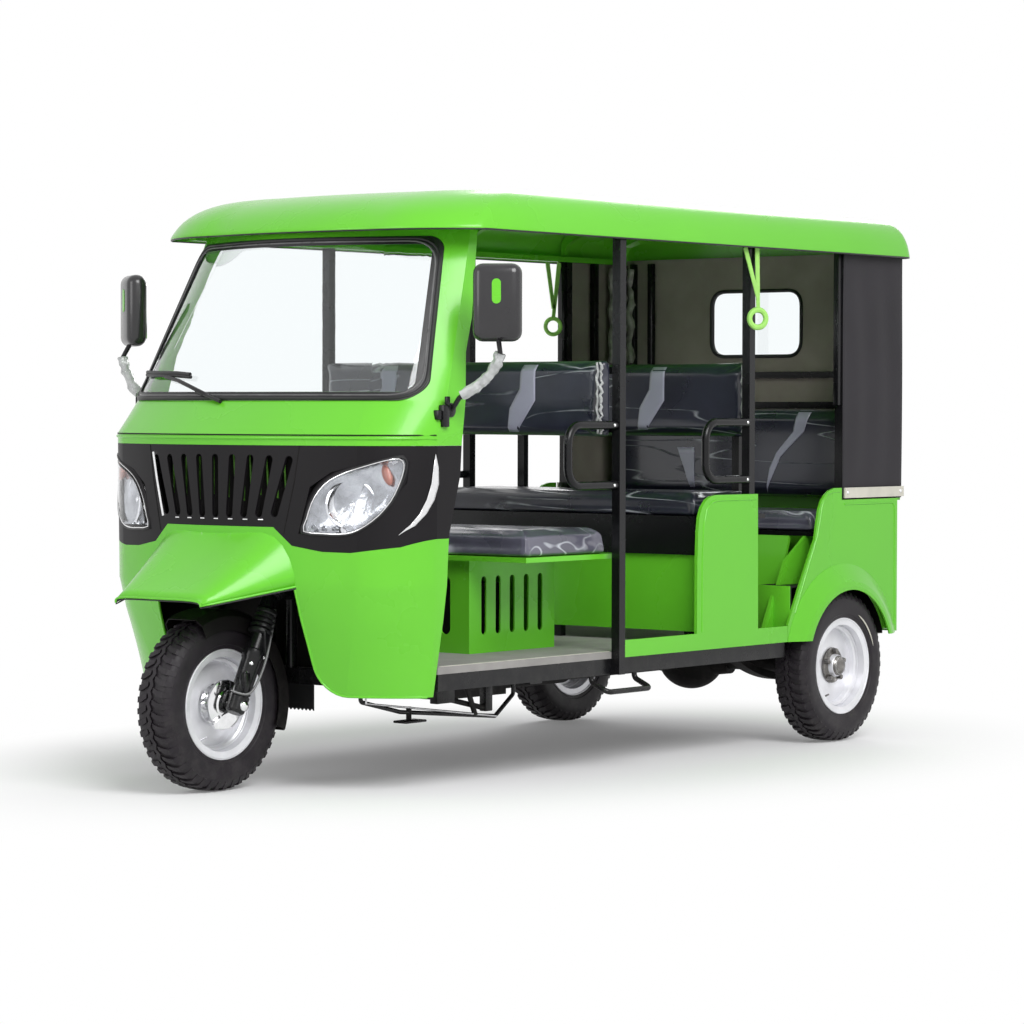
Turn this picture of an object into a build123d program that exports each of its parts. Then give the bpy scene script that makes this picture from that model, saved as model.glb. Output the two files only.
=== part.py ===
"""Passenger auto rickshaw: a three-wheeler with a driver's bench and two passenger benches.

Millimetres. +X is forward, +Y is the vehicle's left, +Z is up. Places along the vehicle are
measured from a datum 1410 behind the front axle, and each piece is moved at the end, so that
the origin is on the ground in the middle of the vehicle's length and width.
"""
from build123d import *
from math import cos, radians, sin, tan
import os

os.makedirs("parts", exist_ok=True)

# ---- driving dimensions -------------------------------------------------------------------
WHEELBASE = 2560.0
TYRE_R = 270.0               # 4.50-12 tyre
TYRE_W = 140.0
HALF_W = 650.0               # body side
ROOF_TOP_Z = 1886.0

# ---- places that follow from them -----------------------------------------------------------
FRONT_AXLE_X = 1410.0        # front axle, at rest
REAR_AXLE_X = FRONT_AXLE_X - WHEELBASE
RIM_R = TYRE_R - 100         # over the rim's flanges
REAR_WHEEL_Y = HALF_W - 46   # half the rear track
SHARE = HALF_W / 650         # widths drawn for the usual body are multiplied by this

FLOOR_Z = TYRE_R + 120       # top of the floor
FLOOR_T = 22.0
FRAME_TOP_Z = FLOOR_Z - FLOOR_T
FRAME_LOW_Z = FRAME_TOP_Z - 60
BODY_LOW_Z = FLOOR_Z - 85    # lower edge of the leg shields
SILL_LOW_Z, SILL_TOP_Z = FLOOR_Z - 18, FLOOR_Z + 38
WAIST_Z = FLOOR_Z + 515      # top of the rear body's sides
MASK_TOP_Z = FLOOR_Z + 681
BELT_Z = FLOOR_Z + 714       # widest level of the cab
COWL_TOP_Z = FLOOR_Z + 800
SCUTTLE_Z = FLOOR_Z + 819    # foot of the windshield
ROOF_EDGE_Z = ROOF_TOP_Z - 146

TAIL_X = REAR_AXLE_X - 382       # rear face of the body
REAR_WALL_X = REAR_AXLE_X - 422  # rear face of the canopy, above the body
ROOF_REAR_X = REAR_AXLE_X - 465
FLOOR_REAR_X = REAR_AXLE_X - 336
MIDDLE_X = (FRONT_AXLE_X + TYRE_R + ROOF_REAR_X) / 2

# ---- sheet, fits and gaps -------------------------------------------------------------------
SKIN_T = 8.0                 # cab mouldings
ROOF_T = 8.0
PANEL_T = 9.0
SIDE_PANEL_T = 12.0
HOOD_T = 7.0
RUNNING_FIT = 0.05           # hub bore to spindle, on the radius
SEAT_GAP = 0.3               # between a piece and the face that it is seated on
JOIN = 0.15                  # half the seam between two mouldings

# ---- floor and chassis ----------------------------------------------------------------------
POST = 32.0                  # square tube of the posts and rails
DOOR_REAR_X = 147.0          # middle post
REAR_POST_X = -614.0
FLOOR_EDGE_Y = HALF_W - POST
FLOOR_HALF = FLOOR_EDGE_Y - SEAT_GAP
RAIL_Y, RAIL_HALF = 300.0, 25.0
MEMBER_LOW_Z, MEMBER_TOP_Z = FRAME_LOW_Z + 8, FRAME_TOP_Z - 2
MEMBER_HALF = 22.0
# cross member x, half length
CROSS_MEMBERS = ((1080.0, RAIL_Y + 20), (990.0, HALF_W - 40), (560.0, HALF_W - 40), (60.0, HALF_W - 40),
                 (-300.0, HALF_W - 40), (REAR_AXLE_X + 324, HALF_W - 40), (REAR_AXLE_X - 314, HALF_W - 170))
SIDE_RAIL_W = 40.0
PAD_X, PAD_HALF, PAD_T = 560.0, 30.0, 6.0
TOW_R, TOW_HALF = 11.0, 8.0
STEP_X, STEP_Z, STEP_R = (245.0, 10.0), FRAME_LOW_Z - 43, 9.0
NECK_X, NECK_Y, NECK_TOP_Z, NECK_R = 1087.0, 45.0, FLOOR_Z + 355, 18.0
FLAP_X, FLAP_HALF, FLAP_T, FLAP_LOW_Z = 1072.0, 130.0, 4.0, FRAME_LOW_Z - 78
# Brake and gear rods under the floor, seen from the side: x, drop below the rail
ROD_Y, ROD_R = 300.0, 7.0
ROD_PATH = ((1045.0, 0.3), (1045.0, 42.0), (855.0, 86.0), (375.0, 132.0), (280.0, 66.0), (280.0, 0.3))

# ---- steering -------------------------------------------------------------------------------
RAKE = 26.0                  # steering axis, from the vertical
TRAIL = 76.0
STEER_GROUND_X = FRONT_AXLE_X + TRAIL
CROWN_Z = 2 * TYRE_R + 78
HEAD_R, HEAD_Z = 34.0, (CROWN_Z + 38, CROWN_Z + 202)
STEM_R, STEM_TOP_Z = 21.7, FLOOR_Z + 640
FORK_OFFSET, FORK_Y = 51.0, 108.0
LEG_LENGTH = (CROWN_Z + 29 - TYRE_R) / cos(radians(RAKE))
LEG_R, SLIDER_R, BELLOWS_R = 17.0, 25.0, 28.0
BELLOWS = (0.6, 0.86)        # where the bellows are, as shares of the leg
SPINDLE_R = 15.0
HUB_R, HUB_HALF = 44.0, 52.0
MUDGUARD_R = TYRE_R + 24
GUARD_LEAD, GUARD_ARC, GUARD_HALF = 25.0, 135.0, 79.7

# ---- engine and axle ------------------------------------------------------------------------
ENGINE_X, ENGINE_HALF, ENGINE_Z = (130.0, 470.0), 150.0, (TYRE_R - 45, FLOOR_Z + 210)
BOX_X, BOX_HALF, BOX_T = (98.0, 546.0), 330.0, 6.0
BOARD_LOW_Z, BOARD_FRONT_X, BOARD_T = FLOOR_Z + 304, 578.0, 16.0
HOUSING_R, HOUSING_Z = 98.0, TYRE_R - 18
SHAFT_R, SHAFT_REAR_X = 20.0, REAR_AXLE_X + HOUSING_R + SEAT_GAP
BACKPLATE_Y = REAR_WHEEL_Y - 56
SPRING_Y, SPRING_HALF, EYE_Z = 420.0, 325.0, MEMBER_LOW_Z - SEAT_GAP

# ---- canopy and rear body -------------------------------------------------------------------
ROOF_EDGE_Y = HALF_W + 22
RAIL_Z = (ROOF_EDGE_Z + 2, ROOF_EDGE_Z + 22)
RAIL_OUTER_Y = HALF_W - 12.3
POST_TOP_Z = RAIL_Z[0] - SEAT_GAP
SHEET_TOP_Z = ROOF_EDGE_Z + 20
BOW_X = (830.0, DOOR_REAR_X, REAR_POST_X, REAR_AXLE_X - 46, REAR_AXLE_X - 396)
# x, foot and top of the posts behind the middle ones
CANOPY_POSTS = ((REAR_POST_X, FLOOR_Z, POST_TOP_Z), (REAR_AXLE_X - 46, WAIST_Z, POST_TOP_Z),
                (REAR_AXLE_X - 396, WAIST_Z, POST_TOP_Z), (REAR_AXLE_X - 318.5, FLOOR_Z, WAIST_Z - POST))
BACKREST_BAR_Z = (FLOOR_Z + 730, FLOOR_Z + 920)
REAR_BAR_Z = (FLOOR_Z + 811, FLOOR_Z + 924)
WINDOW_Z, WINDOW_HALF, WINDOW_H = ROOF_EDGE_Z - 232, 205.0, 246.0
WELL_FRONT_X, WELL_REAR_X = REAR_AXLE_X + 300, REAR_AXLE_X - 300
WELL_INNER_Y, WELL_TOP_Z, WELL_T = HALF_W - 145, TYRE_R + 296, 6.0
SILL_FRONT_X, SILL_REAR_X = DOOR_REAR_X - POST / 2 - SEAT_GAP, REAR_AXLE_X + 330 + SEAT_GAP
ARCH_X, ARCH_R = REAR_AXLE_X - 20, TYRE_R + 32
FLARE_Y, FLARE_R = HALF_W + 40, TYRE_R + 94
BATTEN_Z = (WAIST_Z - 37, WAIST_Z)

# ---- front ----------------------------------------------------------------------------------
GRILLE_PITCH, GRILLE_Z = 64.0, FLOOR_Z + 555
GRILLE_SLOT_L, GRILLE_SLOT_W = 196.0, 26.0
GRILLE_LEAN = 4.5            # degrees for each slot away from the middle
LAMP_DEPTH = 40.0
GASKET_W = 26.0
FIREWALL_X = 1050.0
DASH_X, DASH_Z, DASH_T = 1130.0, FLOOR_Z + 706, 14.0
HOOD_REAR_X, HOOD_FRONT_X = 1325.0, 1640.0
WELL_HALF, WELL_ROOF_Z = 297.0 * SHARE, FLOOR_Z + 250   # gap between the leg shields
MIRROR_X, MIRROR_Y, MIRROR_Z = 962.0, HALF_W + 130, SCUTTLE_Z + 299
MIRROR_W, MIRROR_H, MIRROR_T, MIRROR_TURN = 152.0, 240.0, 70.0, 33.0
ARM_X, ARM_R = 1028.0, 10.0
HANDLE_Y, HANDLE_L, HANDLE_HALF, HANDLE_R = HALF_W - 17, 255.0, 98.0, 14.0


def block(x, y, z, mode=Mode.ADD):
    """A box between three pairs of limits."""
    with Locations(((x[0] + x[1]) / 2, (y[0] + y[1]) / 2, (z[0] + z[1]) / 2)):
        Box(abs(x[1] - x[0]), abs(y[1] - y[0]), abs(z[1] - z[0]), mode=mode)


def rod(start, end, radius, mode=Mode.ADD):
    """A round bar between two points."""
    start, end = Vector(*start), Vector(*end)
    with BuildSketch(Plane(origin=start, z_dir=end - start)) as profile:
        Circle(radius)
    extrude(profile.sketch, amount=(end - start).length, mode=mode)


def tube_along(points, bend, radius):
    """A round bar along a bent path."""
    with BuildLine() as path:
        FilletPolyline(*points, radius=bend)
    with BuildSketch(Plane(origin=path.line @ 0, z_dir=path.line % 0)) as profile:
        Circle(radius)
    sweep(profile.sketch, path=path.line)


def save(builder, name):
    """Bring a finished piece to the vehicle's middle, label it and write its file."""
    piece = builder.part.moved(Location((-MIDDLE_X, 0, 0)))
    piece.label = name
    export_step(piece, f"parts/{name}.step")


def on_axis(z):
    """A point on the steering axis, at a height."""
    return (STEER_GROUND_X - z * tan(radians(RAKE)), 0, z)


def fork_leg(share, side):
    """A point on a fork leg's centre line, at a share of its length from the front axle."""
    along = share * LEG_LENGTH
    return (FRONT_AXLE_X - along * sin(radians(RAKE)), side * FORK_Y, TYRE_R + along * cos(radians(RAKE)))


def wide(points):
    """An outline seen from the front, drawn for the usual body and above the floor, for this one."""
    return tuple((y * SHARE, FLOOR_Z + up) for y, up in points)


# ---- the cab's skin ------------------------------------------------------------------------
# Sections of the cab in plan. The front is an arc through the two shoulders and the nose,
# a corner arc runs on to the side, and the side is straight.
# height, nose x, shoulder x, shoulder y, corner x, corner y, side x, side y
CAB_SECTIONS = (
    (FLOOR_Z - 90, 1275.0, 1222.0, 400.0, 1160.0, 525.0, 1080.0, 610.0),
    (FLOOR_Z + 150, 1357.0, 1273.0, 475.0, 1201.0, 575.0, 1087.5, 638.5),
    (FLOOR_Z + 250, 1384.0, 1289.0, 498.0, 1214.0, 590.0, 1090.0, 647.0),
    (BELT_Z, 1388.0, 1292.0, 500.0, 1217.0, 594.0, 1090.0, 650.0),
    (SCUTTLE_Z, 1285.0, 1208.0, 470.0, 1140.0, 582.0, 1040.0, 645.0),
    (ROOF_EDGE_Z + 30, 1036.0, 954.0, 328.0, 895.0, 466.0, 820.0, 563.0),
)
CAB_REAR_X = 700.0
FAR = 1500.0                 # beyond the front of the vehicle


def cab_section(row, inset):
    """One closed section of the cab, set in from the skin."""
    z, nose, sx, sy, cx, cy, ex, ey = row
    sy, cy, ey = sy * SHARE, cy * SHARE, ey * SHARE
    nose, sx, sy, cx, cy, ey = nose - inset, sx - inset, sy - inset / 3, cx - 0.75 * inset, cy - 0.75 * inset, ey - inset
    with BuildSketch(Plane.XY.offset(z)) as outline:
        with BuildLine():
            ThreePointArc((sx, -sy), (nose, 0), (sx, sy))
            ThreePointArc((sx, sy), (cx, cy), (ex, ey))
            Polyline((ex, ey), (CAB_REAR_X, ey), (CAB_REAR_X, -ey), (ex, -ey))
            ThreePointArc((ex, -ey), (cx, -cy), (sx, -sy))
        make_face()
    return outline.sketch


def cab_solid(inset):
    """The cab as one closed form, its surface set in from the skin."""
    sections = [cab_section(row, inset) for row in CAB_SECTIONS]
    with BuildPart() as form:
        loft(sections, ruled=True)
    return form.part


def glass_level(share):
    """A height at a share of the way from the windshield's foot to the roof's edge."""
    return SCUTTLE_Z + share * (ROOF_EDGE_Z - SCUTTLE_Z)


# Rear edge of the door pillar and of the cab's side, seen from the side: x, z
DOOR_EDGE = ((1062.0, FLOOR_Z - 100), (1032.0, FLOOR_Z + 406), (980.0, FLOOR_Z + 590), (973.0, FLOOR_Z + 698),
             (922.0, glass_level(0.284)), (874.0, glass_level(0.486)), (818.0, glass_level(0.868)),
             (786.0, glass_level(1.08)))
CAB_OUTER = cab_solid(0)
CAB_INNER = cab_solid(SKIN_T)


def side_cut(points, mode):
    """Cut or keep what lies inside an outline seen from the side."""
    with BuildSketch(Plane.XZ) as profile:
        with BuildLine():
            Polyline(*points, close=True)
        make_face()
    extrude(profile.sketch, amount=FAR, both=True, mode=mode)


def front_cut(points, mode):
    """Cut or keep what lies inside an outline seen from the front."""
    with BuildSketch(Plane.YZ.offset(CAB_REAR_X - 100)) as profile:
        with BuildLine():
            Polyline(*points, close=True)
        make_face()
    extrude(profile.sketch, amount=FAR, mode=mode)


def cab_skin():
    """The cab's skin ahead of the doors, for the pieces to be cut from."""
    add(CAB_OUTER)
    add(CAB_INNER, mode=Mode.SUBTRACT)
    side_cut(DOOR_EDGE + ((CAB_REAR_X - 100, DOOR_EDGE[-1][1]), (CAB_REAR_X - 100, DOOR_EDGE[0][1])), Mode.SUBTRACT)


# Windshield opening seen from the front: half width, height
SCREEN = ((618.0 * SHARE, SCUTTLE_Z), (514.0 * SHARE, ROOF_EDGE_Z - 18))
SCREEN_PLANE_X = 790.0


def screen_outline(grow):
    """The windshield's outline, grown or shrunk."""
    (low_y, low_z), (top_y, top_z) = SCREEN
    with BuildSketch(Plane.YZ.offset(SCREEN_PLANE_X)) as outline:
        with BuildLine():
            Polyline((low_y, low_z), (top_y, top_z), (-top_y, top_z), (-low_y, low_z), close=True)
        make_face()
        fillet(outline.vertices(), radius=55)
        if grow:
            offset(amount=grow)
    return outline.sketch


# Lower edge of the black mask from the middle outwards, seen from the front: y, height above the
# floor. It steps up over the nose fender.
MASK_FOOT = wide(((225.0, 431.0), (290.0, 375.0), (390.0, 358.0), (480.0, 356.0), (600.0, 374.0), (700.0, 422.0)))
MASK_EDGE = MASK_FOOT[::-1] + tuple((-y, z) for y, z in MASK_FOOT)
LAMP_OUTLINE = wide(((313.0, 412.0), (352.0, 555.0), (420.0, 600.0), (546.0, 636.0), (606.0, 656.0), (617.0, 632.0),
                     (612.0, 569.0), (570.0, 481.0), (488.0, 414.0), (461.0, 404.0)))

with BuildPart() as front_cowl:
    cab_skin()
    block((0, FAR), (-FAR, FAR), (MASK_TOP_Z + JOIN, COWL_TOP_Z), mode=Mode.INTERSECT)

with BuildPart() as front_mask:
    cab_skin()
    front_cut(((MASK_EDGE[0][0], MASK_TOP_Z - JOIN),) + MASK_EDGE + ((MASK_EDGE[-1][0], MASK_TOP_Z - JOIN),),
              Mode.INTERSECT)
    for side in (1, -1):
        front_cut(tuple((side * y, z) for y, z in LAMP_OUTLINE), Mode.SUBTRACT)
    # Grille: upright slots that lean outwards towards the top.
    with BuildSketch(Plane.YZ.offset(1200)) as slots:
        for step in range(-4, 5):
            with Locations((GRILLE_PITCH * step, GRILLE_Z)):
                SlotOverall(GRILLE_SLOT_L, GRILLE_SLOT_W, rotation=90 - GRILLE_LEAN * step)
    extrude(slots.sketch, amount=300, mode=Mode.SUBTRACT)

with BuildPart() as front_apron:
    cab_skin()
    front_cut(((FAR, FLOOR_Z - 100),) + tuple((y, z - 2 * JOIN) for y, z in MASK_EDGE) + ((-FAR, FLOOR_Z - 100),),
              Mode.INTERSECT)
    low = FLOOR_Z - 200
    front_cut(((WELL_HALF, WELL_ROOF_Z), (WELL_HALF + 20, low), (-WELL_HALF - 20, low), (-WELL_HALF, WELL_ROOF_Z)),
              Mode.SUBTRACT)

LAMP_REAR_X = 1150.0
with BuildPart() as headlamps:
    add(cab_solid(-3))
    add(cab_solid(LAMP_DEPTH), mode=Mode.SUBTRACT)
    with BuildSketch(Plane.YZ.offset(LAMP_REAR_X)) as lamps:
        for side in (1, -1):
            with BuildLine():
                Polyline(*tuple((side * y, z) for y, z in LAMP_OUTLINE), close=True)
            make_face()
        offset(amount=-SEAT_GAP, kind=Kind.INTERSECTION)
    extrude(lamps.sketch, amount=FAR - LAMP_REAR_X, mode=Mode.INTERSECT)

# ---- windshield ----------------------------------------------------------------------------
with BuildPart() as windshield_frame:
    cab_skin()
    block((0, FAR), (-FAR, FAR), (COWL_TOP_Z, ROOF_EDGE_Z + 30), mode=Mode.INTERSECT)
    extrude(screen_outline(0), amount=FAR, mode=Mode.SUBTRACT)

with BuildPart() as windshield_gasket:
    add(cab_solid(-4))
    add(cab_solid(SKIN_T + 3), mode=Mode.SUBTRACT)
    extrude(screen_outline(-JOIN), amount=FAR, mode=Mode.INTERSECT)
    extrude(screen_outline(-GASKET_W), amount=FAR, mode=Mode.SUBTRACT)

with BuildPart() as windshield_glass:
    add(cab_solid(2))
    add(cab_solid(7), mode=Mode.SUBTRACT)
    extrude(screen_outline(-GASKET_W - JOIN), amount=FAR, mode=Mode.INTERSECT)

# ---- nose fender: a hood over the front wheel ------------------------------------------------
# Half sections across the hood, from its lower edge to the middle: y, height above the fork's crown
HOOD_REAR = ((312.0, 28.0), (312.0, 40.0), (250.0, 190.0), (236.0, 216.0), (205.0, 233.0))
HOOD_FRONT = ((179.0, -34.0), (178.0, -27.0), (172.0, -21.0), (164.0, -19.0), (150.0, -18.0))


def hood_section(x, half, drop):
    """A section across the hood, lowered and narrowed by the sheet's thickness."""
    points = tuple((y - drop, CROWN_Z + up - drop) for y, up in half)
    points += tuple((-y, z) for y, z in reversed(points))
    with BuildSketch(Plane.YZ.offset(x)) as profile:
        with BuildLine():
            Polyline(*points, close=True)
        make_face()
    return profile.sketch


with BuildPart() as nose_fender:
    loft([hood_section(HOOD_REAR_X, HOOD_REAR, 0), hood_section(HOOD_FRONT_X, HOOD_FRONT, 0)], ruled=True)
    loft([hood_section(HOOD_REAR_X, HOOD_REAR, HOOD_T), hood_section(HOOD_FRONT_X, HOOD_FRONT, HOOD_T)],
         ruled=True, mode=Mode.SUBTRACT)
    add(cab_solid(-SEAT_GAP), mode=Mode.SUBTRACT)

# ---- inside the cab --------------------------------------------------------------------------
SHELF_Z = DASH_Z - DASH_T
WALL_TOP_Z = FLOOR_Z + 470
with BuildPart() as firewall:
    add(cab_solid(SKIN_T + SEAT_GAP))
    side_cut(((FIREWALL_X, FRAME_TOP_Z), (FIREWALL_X, WALL_TOP_Z), (DASH_X, SHELF_Z), (DASH_X + 12, SHELF_Z),
              (FIREWALL_X + 10, WALL_TOP_Z - 2), (FIREWALL_X + 10, FRAME_TOP_Z)), Mode.INTERSECT)
    block((FIREWALL_X - 10, DASH_X), (-60, 60), (HEAD_Z[1] - 60, HEAD_Z[1] + 140), mode=Mode.SUBTRACT)
    for side in (1, -1):
        block((FIREWALL_X + 20, DASH_X + 60), (side * 520 * SHARE, side * FAR), (FLOOR_Z + 390, DASH_Z),
              mode=Mode.SUBTRACT)

with BuildPart() as dashboard:
    add(cab_solid(SKIN_T + SEAT_GAP))
    block((DASH_X, FAR), (-FAR, FAR), (SHELF_Z, DASH_Z), mode=Mode.INTERSECT)
    block((DASH_X, DASH_X + 60), (-120, 120), (DASH_Z, DASH_Z + 70))

with BuildPart() as floor_pan:
    block((FLOOR_REAR_X, FIREWALL_X - SEAT_GAP), (-FLOOR_HALF, FLOOR_HALF), (FRAME_TOP_Z, FLOOR_Z))
    block((ENGINE_X[0] - 10, ENGINE_X[1] + 10), (-ENGINE_HALF - 20, ENGINE_HALF + 20), (FRAME_TOP_Z, FLOOR_Z),
          mode=Mode.SUBTRACT)
    for side in (1, -1):
        block((WELL_REAR_X - SEAT_GAP, WELL_FRONT_X + SEAT_GAP), (side * (WELL_INNER_Y - SEAT_GAP), side * HALF_W),
              (FRAME_TOP_Z, FLOOR_Z), mode=Mode.SUBTRACT)

with BuildPart() as side_sills:
    for side in (1, -1):
        block((SILL_REAR_X, SILL_FRONT_X), (side * FLOOR_EDGE_Y, side * HALF_W), (SILL_LOW_Z, SILL_TOP_Z))
        block((SILL_REAR_X, SILL_FRONT_X), (side * FLOOR_EDGE_Y, side * (HALF_W - PANEL_T)),
              (SILL_LOW_Z + PANEL_T, SILL_TOP_Z), mode=Mode.SUBTRACT)

# ---- chassis ---------------------------------------------------------------------------------
with BuildPart() as chassis_frame:
    for side in (1, -1):
        block((FLOOR_REAR_X, NECK_X + 15), (side * (RAIL_Y - RAIL_HALF), side * (RAIL_Y + RAIL_HALF)),
              (FRAME_LOW_Z, FRAME_TOP_Z - SEAT_GAP))
        block((WELL_FRONT_X + 2, FIREWALL_X - 2), (side * (FLOOR_HALF - SIDE_RAIL_W), side * FLOOR_HALF),
              (MEMBER_LOW_Z, FRAME_TOP_Z - SEAT_GAP))
        block((PAD_X - PAD_HALF, PAD_X + PAD_HALF), (side * (FLOOR_HALF - SIDE_RAIL_W - 10), side * FLOOR_HALF),
              (MEMBER_LOW_Z - PAD_T, MEMBER_LOW_Z))
    for x, half in CROSS_MEMBERS:
        block((x - MEMBER_HALF, x + MEMBER_HALF), (-half, half), (MEMBER_LOW_Z, MEMBER_TOP_Z))
    tow_x, tow_z = FLOOR_REAR_X - 24, FRAME_LOW_Z + 24
    block((tow_x - 20, tow_x + 30), (-TOW_HALF, TOW_HALF), (FRAME_LOW_Z, FRAME_TOP_Z - 12))
    rod((tow_x, -TOW_HALF, tow_z), (tow_x, TOW_HALF, tow_z), TOW_R, mode=Mode.SUBTRACT)

with BuildPart() as steering_neck:
    for side in (1, -1):
        rod((NECK_X, side * NECK_Y, MEMBER_TOP_Z + SEAT_GAP), (NECK_X, side * NECK_Y, NECK_TOP_Z), NECK_R)
        rod((NECK_X - 6, side * NECK_Y, NECK_TOP_Z), on_axis(NECK_TOP_Z + 10), NECK_R)
    rod(on_axis(HEAD_Z[0]), on_axis(HEAD_Z[1]), HEAD_R)
    rod(on_axis(HEAD_Z[0] - 60), on_axis(HEAD_Z[1] + 60), STEM_R + SEAT_GAP, mode=Mode.SUBTRACT)

with BuildPart() as side_steps:
    for side in (1, -1):
        top, bend, low = [(side * y, z) for y, z in ((FLOOR_HALF - 20, EYE_Z), (FLOOR_HALF - 20, EYE_Z - 20),
                                                     (HALF_W + 15, STEP_Z))]
        tube_along(((STEP_X[0], *top), (STEP_X[0], *bend), (STEP_X[0], *low), (STEP_X[1], *low),
                    (STEP_X[1], *bend), (STEP_X[1], *top)), 20, STEP_R)

with BuildPart() as mud_flap:
    block((FLAP_X, FLAP_X + FLAP_T), (-FLAP_HALF, FLAP_HALF), (FLAP_LOW_Z, MEMBER_LOW_Z - SEAT_GAP))

with BuildPart() as control_rods:
    tube_along(tuple((x, ROD_Y, FRAME_LOW_Z - drop) for x, drop in ROD_PATH), 12, ROD_R)

# ---- rear axle -------------------------------------------------------------------------------
with BuildPart() as rear_axle:
    rod((REAR_AXLE_X, -BACKPLATE_Y, TYRE_R), (REAR_AXLE_X, BACKPLATE_Y, TYRE_R), 35)
    rod((REAR_AXLE_X, -REAR_WHEEL_Y - 56, TYRE_R), (REAR_AXLE_X, REAR_WHEEL_Y + 56, TYRE_R), SPINDLE_R)
    with BuildSketch(Plane(origin=(REAR_AXLE_X, 0, HOUSING_Z), x_dir=(0, 1, 0), z_dir=(1, 0, 0))) as housing:
        with BuildLine():
            ThreePointArc((-115, 42), (0, HOUSING_R), (115, 42))
            Polyline((115, 42), (180, 34), (180, 0), (-180, 0), (-180, 34), (-115, 42))
        make_face()
    revolve(housing.sketch, axis=Axis((REAR_AXLE_X, 0, HOUSING_Z), (0, 1, 0)))
    for side in (1, -1):
        rod((REAR_AXLE_X, side * (BACKPLATE_Y - 12), TYRE_R), (REAR_AXLE_X, side * BACKPLATE_Y, TYRE_R), 92)
        with BuildSketch(Plane.XZ.offset(-side * SPRING_Y - 25)) as leaf:
            front_x, rear_x = REAR_AXLE_X + SPRING_HALF, REAR_AXLE_X - SPRING_HALF
            with BuildLine():
                ThreePointArc((rear_x, EYE_Z - 24), (REAR_AXLE_X, TYRE_R - 60), (front_x, EYE_Z - 24))
                Line((front_x, EYE_Z - 24), (front_x, EYE_Z))
                ThreePointArc((front_x, EYE_Z), (REAR_AXLE_X, TYRE_R - 33), (rear_x, EYE_Z))
                Line((rear_x, EYE_Z), (rear_x, EYE_Z - 24))
            make_face()
        extrude(leaf.sketch, amount=50)

with BuildPart() as drive_shaft:
    rod((ENGINE_X[0] - SEAT_GAP, 0, HOUSING_Z), (SHAFT_REAR_X, 0, HOUSING_Z), SHAFT_R)

EXHAUST_Y, SILENCER_X, SILENCER_R = -215.0, (-160.0, -640.0), 55.0
with BuildPart() as exhaust:
    tube_along(((ENGINE_X[0] + 60, -ENGINE_HALF - SEAT_GAP, TYRE_R + 5), (ENGINE_X[0] + 60, EXHAUST_Y, TYRE_R + 5),
                (SILENCER_X[0], EXHAUST_Y, TYRE_R - 20)), 40, 16)
    rod((SILENCER_X[0], EXHAUST_Y, TYRE_R - 20), (SILENCER_X[1], EXHAUST_Y, TYRE_R - 20), SILENCER_R)

with BuildPart() as engine_block:
    block(ENGINE_X, (-ENGINE_HALF, ENGINE_HALF), ENGINE_Z)

# ---- driver's bench --------------------------------------------------------------------------
BOARD_HALF = HALF_W - 60
VENT_Z, VENT_L, VENT_W = FLOOR_Z + 155, 190.0, 26.0
with BuildPart() as engine_box:
    block(BOX_X, (-BOX_HALF, BOX_HALF), (FLOOR_Z, BOARD_LOW_Z))
    block((BOX_X[0] + BOX_T, BOX_X[1] - BOX_T), (-BOX_HALF + BOX_T, BOX_HALF - BOX_T), (FLOOR_Z, BOARD_LOW_Z),
          mode=Mode.SUBTRACT)
    block((BOX_X[0] - 20, BOARD_FRONT_X), (-BOARD_HALF, BOARD_HALF), (BOARD_LOW_Z, BOARD_LOW_Z + BOARD_T))
    with BuildSketch(Plane.XZ) as side_vents:
        for step in range(5):
            with Locations((BOX_X[1] - 75 - 74 * step, VENT_Z)):
                SlotOverall(VENT_L, VENT_W, rotation=90)
    extrude(side_vents.sketch, amount=BOX_HALF + 50, both=True, mode=Mode.SUBTRACT)
    with BuildSketch(Plane.YZ.offset(BOX_X[1] - 40)) as front_vents:
        with GridLocations(115, 1, 5, 1):
            with Locations((0, VENT_Z)):
                SlotOverall(VENT_L, VENT_W + 14, rotation=90)
    extrude(front_vents.sketch, amount=80, mode=Mode.SUBTRACT)


# name, x limits, half width, z limits, radius of the edges
CUSHIONS = (
    ("driver_cushion", (BOX_X[0] + 26, BOARD_FRONT_X - 4), HALF_W - 65, (FLOOR_Z + 320, FLOOR_Z + 407), 24.0),
    ("driver_backrest", (156.3, 206.0), HALF_W - 32.5, (FLOOR_Z + 693, FLOOR_Z + 962), 20.0),
    ("middle_cushion", (-740.0, -324.0), HALF_W - 46, (FLOOR_Z + 432, FLOOR_Z + 512), 24.0),
    ("middle_backrest", (-740.0, -680.0), HALF_W - 75, (FLOOR_Z + 690, FLOOR_Z + 965), 20.0),
    ("rear_cushion", (REAR_AXLE_X - 290, REAR_AXLE_X + 95), HALF_W - 50, (FLOOR_Z + 360, FLOOR_Z + 432), 24.0),
    ("rear_backrest", (REAR_AXLE_X - 320, REAR_AXLE_X - 260), HALF_W - 50, (FLOOR_Z + 460, FLOOR_Z + 810), 20.0),
)
for name, x, half, z, edge in CUSHIONS:
    with BuildPart() as pad:
        block(x, (-half, half), z)
        fillet(pad.edges().filter_by(Axis.Z, reverse=True).group_by(Axis.Z)[-1], radius=edge)
    save(pad, name)

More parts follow.
